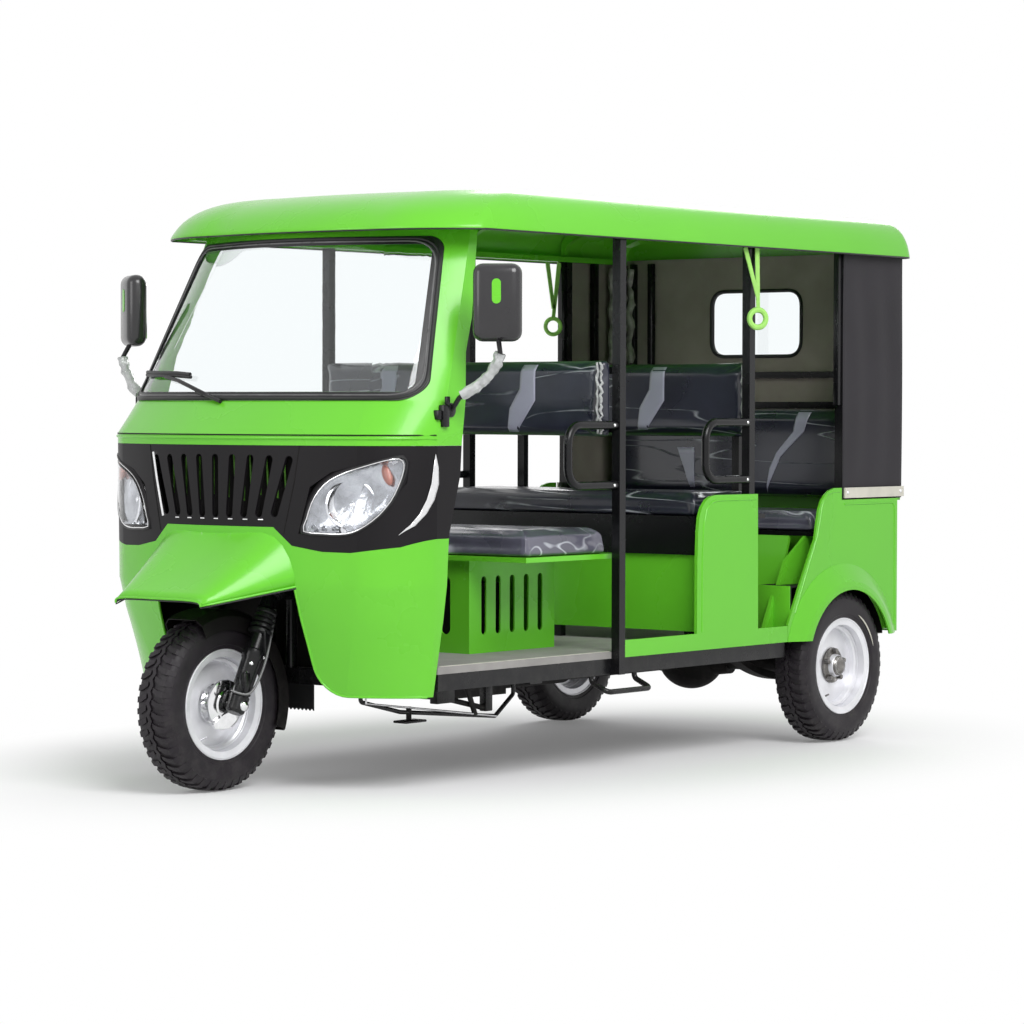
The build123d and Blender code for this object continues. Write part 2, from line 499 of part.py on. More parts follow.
# ---- passenger benches -----------------------------------------------------------------------
LEG_HALF = 15.0
BENCH_HALF = HALF_W - 46
MIDDLE_X_LIMITS, MIDDLE_TOP_Z = (-744.0, -322.0), FLOOR_Z + 432
RISER_X, RISER_Z = (-345.7, -334.0), (FLOOR_Z + 40, FLOOR_Z + 300)
with BuildPart() as middle_bench:
    block(MIDDLE_X_LIMITS, (-BENCH_HALF, BENCH_HALF), (MIDDLE_TOP_Z - 16, MIDDLE_TOP_Z))
    block((RISER_X[1], MIDDLE_X_LIMITS[1]), (-BENCH_HALF, BENCH_HALF), (RISER_Z[1], MIDDLE_TOP_Z - 16))
    for y in (90 - HALF_W, 0, HALF_W - 90):
        block((-372, -346), (y - LEG_HALF, y + LEG_HALF), (FLOOR_Z, MIDDLE_TOP_Z - 16))
    for y in (170 - HALF_W, HALF_W - 170):
        block((-766, -740 - SEAT_GAP), (y - LEG_HALF, y + LEG_HALF), (FLOOR_Z, FLOOR_Z + 940))

with BuildPart() as middle_riser:
    riser_half = HALF_W - SIDE_PANEL_T - SEAT_GAP
    block(RISER_X, (-riser_half, riser_half), (RISER_Z[0], RISER_Z[1] - SEAT_GAP))

REAR_SEAT_Z = FLOOR_Z + 360
SEAT_FRONT_X, SEAT_REAR_X = REAR_AXLE_X + 100, REAR_AXLE_X - 300
BACK_LEG_Y = HALF_W - 170
with BuildPart() as rear_bench:
    block((SEAT_REAR_X, SEAT_FRONT_X), (50 - HALF_W, HALF_W - 50), (REAR_SEAT_Z - 16, REAR_SEAT_Z))
    for y in (-BACK_LEG_Y, BACK_LEG_Y):
        block((SEAT_REAR_X - 46, SEAT_REAR_X - 20 - SEAT_GAP), (y - LEG_HALF, y + LEG_HALF),
              (REAR_SEAT_Z, FLOOR_Z + 790))
        block((SEAT_REAR_X - 46, SEAT_REAR_X), (y - LEG_HALF, y + LEG_HALF), (REAR_SEAT_Z - 16, REAR_SEAT_Z))
        block((SEAT_REAR_X, SEAT_REAR_X + 26), (y - LEG_HALF, y + LEG_HALF), (FLOOR_Z, REAR_SEAT_Z - 16))

with BuildPart() as rear_riser:
    foot_z, top_z = FLOOR_Z + SEAT_GAP, REAR_SEAT_Z - 16 - SEAT_GAP
    half = WELL_INNER_Y - 5
    side_cut(((REAR_AXLE_X + 218, foot_z), (SEAT_FRONT_X, top_z), (SEAT_FRONT_X - 12, top_z),
              (REAR_AXLE_X + 206, foot_z)), Mode.ADD)
    block((REAR_AXLE_X, 0), (-half, half), (FLOOR_Z, REAR_SEAT_Z), mode=Mode.INTERSECT)

with BuildPart() as seat_gussets:
    rest_z = WELL_TOP_Z + SEAT_GAP
    side_cut(((WELL_FRONT_X - 30, rest_z), (REAR_AXLE_X + 227, FLOOR_Z + 259), (SEAT_FRONT_X, top_z),
              (SEAT_FRONT_X - 60, top_z), (SEAT_FRONT_X - 60, rest_z)), Mode.ADD)
    block((REAR_AXLE_X, 0), (80 - HALF_W, HALF_W - 80), (FLOOR_Z, REAR_SEAT_Z), mode=Mode.INTERSECT)
    block((REAR_AXLE_X, 0), (92 - HALF_W, HALF_W - 92), (FLOOR_Z, REAR_SEAT_Z), mode=Mode.SUBTRACT)

# Outline of the panel beside the middle seat, seen from the side: x, height above the floor
SEAT_PANEL = ((-274.0, 38.0), (-275.0, 287.0), (-279.0, 380.0), (-286.0, 430.0), (-300.0, 462.0), (-326.0, 488.0),
              (-354.0, 500.0), (-388.0, 504.0), (-633.0, 503.0), (-637.0, 38.0))
with BuildPart() as seat_side_panels:
    side_cut(tuple((x, FLOOR_Z + up) for x, up in SEAT_PANEL), Mode.ADD)
    block((-FAR, FAR), (-HALF_W, HALF_W), (0, FAR), mode=Mode.INTERSECT)
    block((-FAR, FAR), (SIDE_PANEL_T - HALF_W, HALF_W - SIDE_PANEL_T), (0, FAR), mode=Mode.SUBTRACT)

# ---- rear body -------------------------------------------------------------------------------
# Outline of a rear quarter, seen from the side: x from the rear axle, height above the floor
QUARTER = ((328.0, -18.0), (328.0, 41.0), (304.0, 86.0), (254.0, 178.0), (173.0, 316.0), (161.0, 334.0),
           (150.0, 385.0), (136.0, 441.0), (118.0, 472.0), (96.0, 492.0), (68.0, 507.0), (35.0, 515.0), (-11.0, 515.0),
           (-11.0, 472.0), (-382.0, 472.0), (-382.0, -14.0), (-296.0, 0.0), (-296.0, -18.0))
# Half section of the flare over a wheel: y from the body's side, radius beyond the tyre
FLARE = ((-PANEL_T, 94.0), (1.0, 94.0), (22.0, 56.0), (35.0, 32.0), (40.0, 14.0), (40.0, 2.0), (34.0, 2.0),
         (33.0, 12.0), (28.0, 28.0), (16.0, 52.0), (0.0, 84.0), (-PANEL_T, 84.0))
with BuildPart() as quarter_panels:
    side_cut(tuple((REAR_AXLE_X + x, FLOOR_Z + up) for x, up in QUARTER), Mode.ADD)
    block((-2 * FAR, 0), (-HALF_W, HALF_W), (0, FAR), mode=Mode.INTERSECT)
    block((-2 * FAR, 0), (PANEL_T - HALF_W, HALF_W - PANEL_T), (0, FAR), mode=Mode.SUBTRACT)
    for side in (1, -1):
        rod((ARCH_X, side * (HALF_W - 2 * PANEL_T), TYRE_R), (ARCH_X, side * (HALF_W + 1), TYRE_R), ARCH_R,
            mode=Mode.SUBTRACT)
    with BuildSketch(Plane(origin=(ARCH_X, 0, TYRE_R), x_dir=(0, 1, 0), z_dir=(1, 0, 0))) as flare:
        for side in (1, -1):
            with BuildLine():
                Polyline(*tuple((side * (HALF_W + y), TYRE_R + up) for y, up in FLARE), close=True)
            make_face()
    revolve(flare.sketch, axis=Axis((ARCH_X, 0, TYRE_R), (0, 1, 0)))
    block((-2 * FAR, 0), (-FAR, FAR), (-FAR, SILL_LOW_Z), mode=Mode.SUBTRACT)

with BuildPart() as wheel_houses:
    for side in (1, -1):
        inner, outer = side * WELL_INNER_Y, side * (HALF_W - PANEL_T - SEAT_GAP)
        block((WELL_REAR_X, WELL_FRONT_X), (inner, outer), (SILL_LOW_Z, WELL_TOP_Z))
        block((WELL_REAR_X + WELL_T, WELL_FRONT_X - WELL_T), (inner + side * WELL_T, outer),
              (SILL_LOW_Z, WELL_TOP_Z - WELL_T), mode=Mode.SUBTRACT)

TAIL_HALF, TAIL_TOP_Z = HALF_W - PANEL_T - SEAT_GAP, WAIST_Z - 43
with BuildPart() as tail_panel:
    block((TAIL_X, TAIL_X + 10), (-TAIL_HALF, TAIL_HALF), (FLOOR_Z - 14, TAIL_TOP_Z))
    block((REAR_WALL_X, TAIL_X + 10), (1 - RAIL_OUTER_Y, RAIL_OUTER_Y - 1), (TAIL_TOP_Z - 8, TAIL_TOP_Z))

with BuildPart() as tail_lamps:
    for side in (1, -1):
        block((TAIL_X - 28, TAIL_X - SEAT_GAP), (side * (HALF_W - 120), side * (HALF_W - 25)),
              (FLOOR_Z + 270, FLOOR_Z + 410))

CURTAIN_X = (REAR_WALL_X, REAR_AXLE_X - 30)
with BuildPart() as side_curtains:
    for side in (1, -1):
        block(CURTAIN_X, (side * (RAIL_OUTER_Y + SEAT_GAP), side * (RAIL_OUTER_Y + 8)), (TAIL_TOP_Z + 2, SHEET_TOP_Z))

with BuildPart() as curtain_battens:
    for side in (1, -1):
        block(CURTAIN_X, (side * (RAIL_OUTER_Y + 8 + SEAT_GAP), side * (RAIL_OUTER_Y + 15)), BATTEN_Z)

with BuildPart() as rear_wall:
    block((REAR_WALL_X, REAR_WALL_X + 8), (-RAIL_OUTER_Y, RAIL_OUTER_Y), (TAIL_TOP_Z + SEAT_GAP, SHEET_TOP_Z))
    with BuildSketch(Plane.YZ.offset(REAR_WALL_X)) as opening:
        with Locations((0, WINDOW_Z)):
            RectangleRounded(2 * WINDOW_HALF, WINDOW_H, 60)
    extrude(opening.sketch, amount=60, both=True, mode=Mode.SUBTRACT)

with BuildPart() as rear_window:
    with BuildSketch(Plane.YZ.offset(REAR_WALL_X + 2)) as pane:
        with Locations((0, WINDOW_Z)):
            RectangleRounded(2 * (WINDOW_HALF - SEAT_GAP), WINDOW_H - 2 * SEAT_GAP, 60 - SEAT_GAP)
    extrude(pane.sketch, amount=4)

# ---- canopy ----------------------------------------------------------------------------------
# Sections of the roof in plan, from its lip to the crown. The front is an arc through the two
# shoulders and the nose, a corner arc runs on to the side, and the rear corners are rounded.
# height above the lip, nose x, shoulder x, shoulder y, corner x, corner y, side x, side y,
# rear x from the rear axle
ROOF_SECTIONS = (
    (0.0, 1080.0, 1048.0, 330.0, 995.0, 550.0, 890.0, 672.0, -465.0),
    (12.0, 1078.0, 1046.0, 330.0, 993.0, 549.0, 888.0, 671.0, -465.0),
    (58.0, 1035.0, 1005.0, 328.0, 950.0, 547.0, 840.0, 660.0, -461.0),
    (100.0, 960.0, 930.0, 320.0, 875.0, 530.0, 765.0, 636.0, -450.0),
    (128.0, 845.0, 815.0, 310.0, 765.0, 500.0, 665.0, 590.0, -425.0),
    (142.0, 670.0, 650.0, 260.0, 610.0, 420.0, 530.0, 500.0, -330.0),
    (146.0, 430.0, 410.0, 200.0, 380.0, 320.0, 330.0, 400.0, -180.0),
)
ROOF_CORNER = 60.0


def roof_section(row, drop):
    """One closed section of the roof, set in by the sheet's thickness."""
    up, nose, sx, sy, cx, cy, ex, ey, rear = row
    z = ROOF_EDGE_Z + up - (drop if up else 4 * drop)
    nose, sx, cx, ex, rear = nose - drop, sx - drop, cx - 0.7 * drop, ex - 0.4 * drop, REAR_AXLE_X + rear + drop
    sy, cy, ey = sy * SHARE, cy * SHARE - 0.7 * drop, ey * SHARE - drop
    bend = ROOF_CORNER * (1 - cos(radians(45)))
    with BuildSketch(Plane.XY.offset(z)) as outline:
        with BuildLine():
            ThreePointArc((sx, -sy), (nose, 0), (sx, sy))
            Line((rear, ROOF_CORNER - ey), (rear, ey - ROOF_CORNER))
            for side in (1, -1):
                ThreePointArc((sx, side * sy), (cx, side * cy), (ex, side * ey))
                Line((ex, side * ey), (rear + ROOF_CORNER, side * ey))
                ThreePointArc((rear + ROOF_CORNER, side * ey), (rear + bend, side * (ey - bend)),
                              (rear, side * (ey - ROOF_CORNER)))
        make_face()
    return outline.sketch


def roof_solid(drop):
    """The roof as a closed form, set in by the sheet's thickness."""
    sections = [roof_section(row, drop) for row in ROOF_SECTIONS]
    with BuildPart() as form:
        loft(sections, ruled=True)
    return form.part


with BuildPart() as roof_shell:
    add(roof_solid(0))
    add(roof_solid(ROOF_T), mode=Mode.SUBTRACT)

BOW_T, BOW_HALF = 22.0, 12.0
with BuildPart() as bow_slabs:
    for x in BOW_X:
        block((x - BOW_HALF, x + BOW_HALF), (-RAIL_OUTER_Y, RAIL_OUTER_Y), (RAIL_Z[0], ROOF_TOP_Z))

with BuildPart() as canopy_rails:
    add(roof_solid(ROOF_T + SEAT_GAP))
    add(roof_solid(ROOF_T + BOW_T), mode=Mode.SUBTRACT)
    add(bow_slabs.part, mode=Mode.INTERSECT)
    for side in (1, -1):
        block((REAR_WALL_X + 10, BOW_X[0] + BOW_HALF), (side * (RAIL_OUTER_Y - POST), side * RAIL_OUTER_Y), RAIL_Z)

with BuildPart() as canopy_posts:
    for side in (1, -1):
        outer, inner = side * RAIL_OUTER_Y, side * (RAIL_OUTER_Y - POST)
        block((DOOR_REAR_X - POST / 2, DOOR_REAR_X + POST / 2), (side * HALF_W, side * FLOOR_EDGE_Y),
              (MEMBER_LOW_Z, POST_TOP_Z))
        for x, foot, top in CANOPY_POSTS:
            block((x - POST / 2, x + POST / 2), (inner, outer), (foot, top))
        block((REAR_WALL_X + 10, REAR_AXLE_X - 30), (inner, outer), (WAIST_Z - POST, WAIST_Z))

with BuildPart() as backrest_rails:
    for z in BACKREST_BAR_Z:
        block((DOOR_REAR_X - 16, DOOR_REAR_X + 9), (SEAT_GAP - FLOOR_EDGE_Y, FLOOR_EDGE_Y - SEAT_GAP),
              (z - BOW_HALF, z + BOW_HALF))
    for z in REAR_BAR_Z:
        half = RAIL_OUTER_Y - POST - SEAT_GAP
        block((REAR_WALL_X + 8 + SEAT_GAP, REAR_WALL_X + 26), (-half, half), (z - BOW_HALF, z + BOW_HALF))

# ---- fittings --------------------------------------------------------------------------------
with BuildPart() as grab_handles:
    for side in (1, -1):
        for post_x, z in ((DOOR_REAR_X, FLOOR_Z + 644), (REAR_POST_X, FLOOR_Z + 652)):
            near, far = post_x + POST / 2 + SEAT_GAP, post_x + POST / 2 + HANDLE_L
            low, top = z - HANDLE_HALF, z + HANDLE_HALF
            tube_along(((near, side * HANDLE_Y, top), (far, side * HANDLE_Y, top), (far, side * HANDLE_Y, low),
                        (near, side * HANDLE_Y, low)), 60, HANDLE_R)

# Path of a mirror's arm from the cab's side: x, y from the body's side, height above the scuttle
ARM_PATH = ((ARM_X, 6.0, -29.0), (ARM_X, 34.0, 8.0), (992.0, 118.0, 72.0), (986.0, 162.0, 136.0), (968.0, 135.0, 188.0))
with BuildPart() as mirrors:
    for side in (1, -1):
        turn = radians(side * MIRROR_TURN)
        with BuildSketch(Plane(origin=(MIRROR_X, side * MIRROR_Y, MIRROR_Z), x_dir=(-sin(turn), cos(turn), 0),
                               z_dir=(cos(turn), sin(turn), 0))) as housing:
            RectangleRounded(MIRROR_W, MIRROR_H, 30)
        extrude(housing.sketch, amount=MIRROR_T / 2, both=True)
        rod((ARM_X, side * (HALF_W - 2), SCUTTLE_Z - 29), (ARM_X, side * (HALF_W + 6), SCUTTLE_Z - 29), 22)
        tube_along(tuple((x, side * (HALF_W + y), SCUTTLE_Z + up) for x, y, up in ARM_PATH), 20, ARM_R)

# ---- steering --------------------------------------------------------------------------------
lean, upright = sin(radians(RAKE)), cos(radians(RAKE))
with BuildPart() as front_fork:
    rod(on_axis(CROWN_Z - 18), on_axis(STEM_TOP_Z), STEM_R)
    with BuildSketch(Plane(origin=on_axis(CROWN_Z), x_dir=(upright, 0, lean), z_dir=(-lean, 0, upright))) as crown:
        with Locations((FORK_OFFSET / 2, 0)):
            RectangleRounded(FORK_OFFSET + 56, 2 * FORK_Y + 60, 25)
    extrude(crown.sketch, amount=22, both=True)
    for side in (1, -1):
        rod(fork_leg(BELLOWS[0], side), fork_leg(1, side), LEG_R)
        rod(fork_leg(0, side), fork_leg(BELLOWS[0], side), SLIDER_R)
        rod(fork_leg(BELLOWS[0], side), fork_leg(BELLOWS[1], side), BELLOWS_R)
    rod((FRONT_AXLE_X, -FORK_Y - 30, TYRE_R), (FRONT_AXLE_X, FORK_Y + 30, TYRE_R), SPINDLE_R)

# Half of the handlebar, from the stem outwards: x, y, height above the stem's top
BAR_HALF = ((on_axis(STEM_TOP_Z + 15)[0], 80.0, 15.0), (935.0, 210.0, 62.0), (870.0, 350.0, 32.0))
GRIP_FROM = (925.0, 231.5, 57.4)
with BuildPart() as handlebar:
    tube_along(tuple((x, side * y, STEM_TOP_Z + up) for side, half in ((-1, BAR_HALF[::-1]), (1, BAR_HALF))
                     for x, y, up in half), 30, 11)
    for side in (1, -1):
        (end_x, end_y, end_up), (grip_x, grip_y, grip_up) = BAR_HALF[-1], GRIP_FROM
        rod((end_x, side * end_y, STEM_TOP_Z + end_up), (grip_x, side * grip_y, STEM_TOP_Z + grip_up), 17)
    rod(on_axis(STEM_TOP_Z + SEAT_GAP * 0.8), on_axis(STEM_TOP_Z + 28), 26)

lead = radians(GUARD_LEAD)
with BuildPart() as front_mudguard:
    with BuildSketch(Plane(origin=(FRONT_AXLE_X, 0, TYRE_R), x_dir=(0, 1, 0), z_dir=(cos(lead), 0, -sin(lead)))) as guard:
        # half section of the guard: y, radius
        half = ((GUARD_HALF, TYRE_R - 40), (GUARD_HALF, MUDGUARD_R - 20), (58.0, MUDGUARD_R))
        under = ((57.0, MUDGUARD_R - 3), (GUARD_HALF - 3, MUDGUARD_R - 21), (GUARD_HALF - 3, TYRE_R - 40))
        with BuildLine():
            Polyline(*tuple((-y, r) for y, r in half), *half[::-1], *under[::-1], *tuple((-y, r) for y, r in under),
                     close=True)
        make_face()
    revolve(guard.sketch, axis=Axis((FRONT_AXLE_X, 0, TYRE_R), (0, -1, 0)), revolution_arc=GUARD_ARC)

# ---- wheels ----------------------------------------------------------------------------------
BEAD_R, SEAT_R = RIM_R - 17.7, RIM_R - 18


def wheel_pair(x, y, side, tyre_name, wheel_name):
    """A tyre and its steel wheel, with the disc's open side outwards."""
    across = Plane(origin=(x, y, TYRE_R), x_dir=(0, side, 0), z_dir=(side, 0, 0))
    spin = Axis((x, y, TYRE_R), (0, 1, 0))
    w = TYRE_W / 2
    with BuildPart() as tyre:
        with BuildSketch(across) as section:
            with BuildLine():
                Polyline((w - 20, BEAD_R), (w, TYRE_R - 48), (w - 18, TYRE_R - 4), (0, TYRE_R), (18 - w, TYRE_R - 4),
                         (-w, TYRE_R - 48), (20 - w, BEAD_R), close=True)
            make_face()
        revolve(section.sketch, axis=spin)
    save(tyre, tyre_name)
    with BuildPart() as wheel:
        with BuildSketch(across) as section:
            with BuildLine():
                Polyline((-60, RIM_R), (-56.5, RIM_R), (-51.5, SEAT_R), (-26, RIM_R - 20), (-18, RIM_R - 32),
                         (18, RIM_R - 32), (26, RIM_R - 20), (51.5, SEAT_R), (56.5, RIM_R), (60, RIM_R),
                         (56, RIM_R - 23), (30, RIM_R - 25), (22, RIM_R - 37), (-22, RIM_R - 37), (-30, RIM_R - 25),
                         (-56, RIM_R - 23), close=True)
            make_face()
            with BuildLine():
                Polyline((-4, RIM_R - 34), (3, RIM_R - 34), (12, 70), (12, HUB_R), (4, HUB_R), (4, 68), close=True)
            make_face()
            with BuildLine():
                Polyline((-HUB_HALF, SPINDLE_R + RUNNING_FIT), (-HUB_HALF, 88), (-14, 88), (-8, HUB_R + 14),
                         (4, HUB_R + 14), (12, HUB_R), (HUB_HALF - 12, HUB_R - 6), (HUB_HALF, HUB_R - 14),
                         (HUB_HALF, SPINDLE_R + RUNNING_FIT), close=True)
            make_face()
        revolve(section.sketch, axis=spin)
    save(wheel, wheel_name)


# x, y, outer side, names
WHEELS = (
    (FRONT_AXLE_X, 0.0, 1, "front_tyre", "front_wheel"),
    (REAR_AXLE_X, REAR_WHEEL_Y, 1, "rear_tyre_left", "rear_wheel_left"),
    (REAR_AXLE_X, -REAR_WHEEL_Y, -1, "rear_tyre_right", "rear_wheel_right"),
)
for row in WHEELS:
    wheel_pair(*row)

PIECES = (
    (chassis_frame, "chassis_frame"), (steering_neck, "steering_neck"), (side_steps, "side_steps"),
    (mud_flap, "mud_flap"), (control_rods, "control_rods"), (floor_pan, "floor_pan"), (side_sills, "side_sills"),
    (firewall, "firewall"), (front_apron, "front_apron"), (front_mask, "front_mask"), (front_cowl, "front_cowl"),
    (nose_fender, "nose_fender"), (headlamps, "headlamps"), (windshield_frame, "windshield_frame"),
    (windshield_gasket, "windshield_gasket"), (windshield_glass, "windshield_glass"), (dashboard, "dashboard"),
    (engine_box, "engine_box"), (engine_block, "engine_block"), (drive_shaft, "drive_shaft"), (exhaust, "exhaust"),
    (rear_axle, "rear_axle"), (middle_bench, "middle_bench"), (middle_riser, "middle_riser"),
    (rear_bench, "rear_bench"), (rear_riser, "rear_riser"), (seat_gussets, "seat_gussets"),
    (seat_side_panels, "seat_side_panels"), (quarter_panels, "quarter_panels"), (wheel_houses, "wheel_houses"),
    (tail_panel, "tail_panel"), (tail_lamps, "tail_lamps"), (side_curtains, "side_curtains"),
    (curtain_battens, "curtain_battens"), (rear_wall, "rear_wall"), (rear_window, "rear_window"),
    (canopy_posts, "canopy_posts"), (canopy_rails, "canopy_rails"), (backrest_rails, "backrest_rails"),
    (roof_shell, "roof_shell"), (grab_handles, "grab_handles"), (mirrors, "mirrors"), (front_fork, "front_fork"),
    (handlebar, "handlebar"), (front_mudguard, "front_mudguard"),
)
for piece, name in PIECES:
    save(piece, name)
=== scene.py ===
"""Looks of the passenger auto rickshaw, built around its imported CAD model."""

from math import atan2, cos, hypot, pi, radians, sin

import bmesh
import bpy
from mathutils import Matrix, Vector, noise


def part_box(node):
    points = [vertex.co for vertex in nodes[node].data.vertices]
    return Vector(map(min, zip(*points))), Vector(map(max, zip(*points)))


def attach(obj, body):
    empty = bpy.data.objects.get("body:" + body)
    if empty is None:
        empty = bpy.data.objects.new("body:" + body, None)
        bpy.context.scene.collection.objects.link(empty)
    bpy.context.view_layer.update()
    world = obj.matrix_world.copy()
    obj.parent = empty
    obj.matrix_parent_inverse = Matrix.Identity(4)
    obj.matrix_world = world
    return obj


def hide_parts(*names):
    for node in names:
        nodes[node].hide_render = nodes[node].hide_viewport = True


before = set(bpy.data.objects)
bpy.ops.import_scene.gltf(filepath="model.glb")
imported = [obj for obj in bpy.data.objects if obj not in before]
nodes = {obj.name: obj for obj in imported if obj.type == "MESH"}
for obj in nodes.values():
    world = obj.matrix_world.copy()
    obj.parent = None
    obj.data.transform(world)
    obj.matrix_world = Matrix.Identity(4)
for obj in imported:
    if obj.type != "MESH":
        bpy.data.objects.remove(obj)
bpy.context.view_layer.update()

MM = 0.001
MIDDLE_X = 32.5              # the CAD source measures x from a datum this far behind the middle
SIDES = ((1, "left"), (-1, "right"))
UP = Vector((0, 0, 1))


def at(x, y, z):
    """A point of the CAD source's own frame, in millimetres, as a point of the scene."""
    return Vector(((x - MIDDLE_X) * MM, y * MM, z * MM))


# ---- objects and shader nodes ----
def new_object(name, data):
    made = bpy.data.objects.new(name, data)
    bpy.context.scene.collection.objects.link(made)
    return made


def new_mesh(name, bm):
    mesh = bpy.data.meshes.new(name)
    bm.to_mesh(mesh)
    bm.free()
    return mesh


def set_input(tree, socket, value):
    """Give a socket its value, or link it to another socket."""
    if isinstance(value, bpy.types.NodeSocket):
        tree.links.new(value, socket)
    else:
        socket.default_value = value


def node(tree, kind, settings=None, **inputs):
    """A node with its settings and inputs; i0, i1 and i2 are inputs by number."""
    made = tree.nodes.new("ShaderNode" + kind)
    for key, value in (settings or {}).items():
        setattr(made, key, value)
    for key, value in inputs.items():
        key = key.replace("_", " ")
        by_number = key[0] == "i" and key[1:].isdigit()
        set_input(tree, made.inputs[int(key[1:]) if by_number else key], value)
    return made


def maths(tree, operation, *values, kind="Math"):
    """The result of a sum, a product or another operation on numbers or vectors."""
    made = node(tree, kind, {"operation": operation})
    for socket, value in zip(made.inputs, values):
        set_input(tree, socket, value)
    return made.outputs[0]


def mix_colour(tree, factor, first, second):
    made = node(tree, "Mix", {"data_type": "RGBA"}, i0=factor, i6=first, i7=second)
    return made.outputs[2]


def ramp(tree, value, low, high, to_low=0.0, to_high=1.0, **settings):
    """A value carried over from one range to another."""
    return node(tree, "MapRange", settings, Value=value, From_Min=low, From_Max=high, To_Min=to_low,
                To_Max=to_high).outputs[0]


def new_material(name, **inputs):
    """A material, its tree and its surface node, whose inputs are given."""
    material = bpy.data.materials.new(name)
    material.use_nodes = True
    tree = material.node_tree
    surface = tree.nodes["Principled BSDF"]
    for key, value in inputs.items():
        set_input(tree, surface.inputs[key.replace("_", " ")], value)
    return material, tree, surface


# ---- camera, floor and light ----
EYE = Vector((8.9247, 7.2201, 1.1822))
VIEW_RIGHT = Vector((-0.62389, 0.78151, 0.00211))
VIEW_UP = Vector((-0.02249, -0.02065, 0.99953))
SENSOR = 36.0
FOCAL = 118.27


def make_camera():
    data = bpy.data.cameras.new("camera")
    data.sensor_width, data.lens, data.clip_end = SENSOR, FOCAL, 200
    camera = new_object("camera", data)
    back = VIEW_RIGHT.cross(VIEW_UP).normalized()
    up = back.cross(VIEW_RIGHT).normalized()
    camera.matrix_world = Matrix((VIEW_RIGHT, up, back)).transposed().to_4x4()
    camera.location = EYE
    bpy.context.scene.camera = camera


def area_light(name, place, aim, size, power):
    data = bpy.data.lights.new(name, "AREA")
    data.shape = "RECTANGLE"
    data.size, data.size_y = size
    data.energy = power
    light = new_object(name, data)
    light.location = place
    light.rotation_euler = (Vector(aim) - Vector(place)).to_track_quat("-Z", "Y").to_euler()


def seen_directly(tree):
    """1 for what the camera, a mirror or glass sees, 0 for what lights the object."""
    path = node(tree, "LightPath").outputs
    total = path["Is Camera Ray"]
    for ray in ("Is Glossy Ray", "Is Transmission Ray"):
        total = maths(tree, "MAXIMUM", total, path[ray])
    return total


def make_world(light_level):
    world = bpy.data.worlds.new("studio")
    bpy.context.scene.world = world
    world.use_nodes = True
    tree = world.node_tree
    shown = tree.nodes["Background"]
    shown.inputs["Color"].default_value = (1, 1, 1, 1)
    shown.inputs["Strength"].default_value = 1.0
    lit = node(tree, "Background", Strength=light_level)
    mix = node(tree, "MixShader", Fac=seen_directly(tree), i1=lit.outputs[0], i2=shown.outputs[0])
    tree.links.new(mix.outputs[0], tree.nodes["World Output"].inputs["Surface"])


def make_floor():
    """A pale floor that keeps the shadow near the vehicle and fades to white away from it."""
    bm = bmesh.new()
    bmesh.ops.create_grid(bm, x_segments=1, y_segments=1, size=40)
    floor = new_object("floor", new_mesh("floor", bm))
    floor.location.z = -0.0005
    material, tree, surface = new_material("floor_pale", Base_Color=(0.9, 0.9, 0.91, 1), Roughness=0.8,
                                           Specular_IOR_Level=0.1)
    place = node(tree, "TexCoord")
    oval = maths(tree, "MULTIPLY", place.outputs["Object"], (0.56, 0.84, 1), kind="VectorMath")
    spread = node(tree, "VectorMath", {"operation": "LENGTH"}, i0=oval)
    fade = ramp(tree, spread.outputs["Value"], 0.72, 1.5, 0.13, interpolation_type="SMOOTHSTEP")
    both = maths(tree, "MULTIPLY", fade, seen_directly(tree))
    white = node(tree, "Emission")
    mix = node(tree, "MixShader", Fac=both, i1=surface.outputs[0], i2=white.outputs[0])
    tree.links.new(mix.outputs[0], tree.nodes["Material Output"].inputs["Surface"])
    floor.data.materials.append(material)


make_camera()
make_world(0.55)
make_floor()
area_light("key", (3.0, 5.5, 5.5), (0, 0, 0.9), (4.0, 4.0), 460)
area_light("front", (7.0, -1.5, 3.0), (0.5, 0, 0.8), (3.0, 3.0), 90)
area_light("rear", (-6.0, -3.0, 4.0), (-0.5, 0, 0.8), (3.0, 3.0), 110)
bpy.context.scene.view_settings.view_transform = "Standard"


# ---- shared effects ----
def new_group(name, inputs, outputs):
    group = bpy.data.node_groups.new(name, "ShaderNodeTree")
    for label, kind, value in inputs:
        socket = group.interface.new_socket(label, in_out="INPUT", socket_type=kind)
        socket.default_value = value
    for label, kind in outputs:
        group.interface.new_socket(label, in_out="OUTPUT", socket_type=kind)
    return group, group.nodes.new("NodeGroupInput"), group.nodes.new("NodeGroupOutput")


FLOAT, COLOUR = "NodeSocketFloat", "NodeSocketColor"
CLOUD_RANGE = (0.3, 0.7)     # what the noise of the clouds lies between


def object_noise(tree, scale, detail, **more):
    """Noise fixed to the object."""
    place = node(tree, "TexCoord").outputs["Object"]
    return node(tree, "TexNoise", Vector=place, Scale=scale, Detail=detail, **more).outputs[0]


def cloudy_group():
    """A colour that wanders a little in brightness, and a mask of the same clouds."""
    group, given, result = new_group(
        "cloudy", (("Color", COLOUR, (1, 1, 1, 1)), ("Amount", FLOAT, 0.1), ("Scale", FLOAT, 6.0)),
        (("Color", COLOUR), ("Mask", FLOAT)))
    given = given.outputs
    clouds = object_noise(group, given["Scale"], 5.0)
    gain = maths(group, "MULTIPLY_ADD", ramp(group, clouds, *CLOUD_RANGE, -1.0), given["Amount"], 1.0)
    scaled = node(group, "VectorMath", {"operation": "SCALE"}, Vector=given["Color"], Scale=gain)
    group.links.new(scaled.outputs[0], result.inputs["Color"])
    group.links.new(clouds, result.inputs["Mask"])
    return group


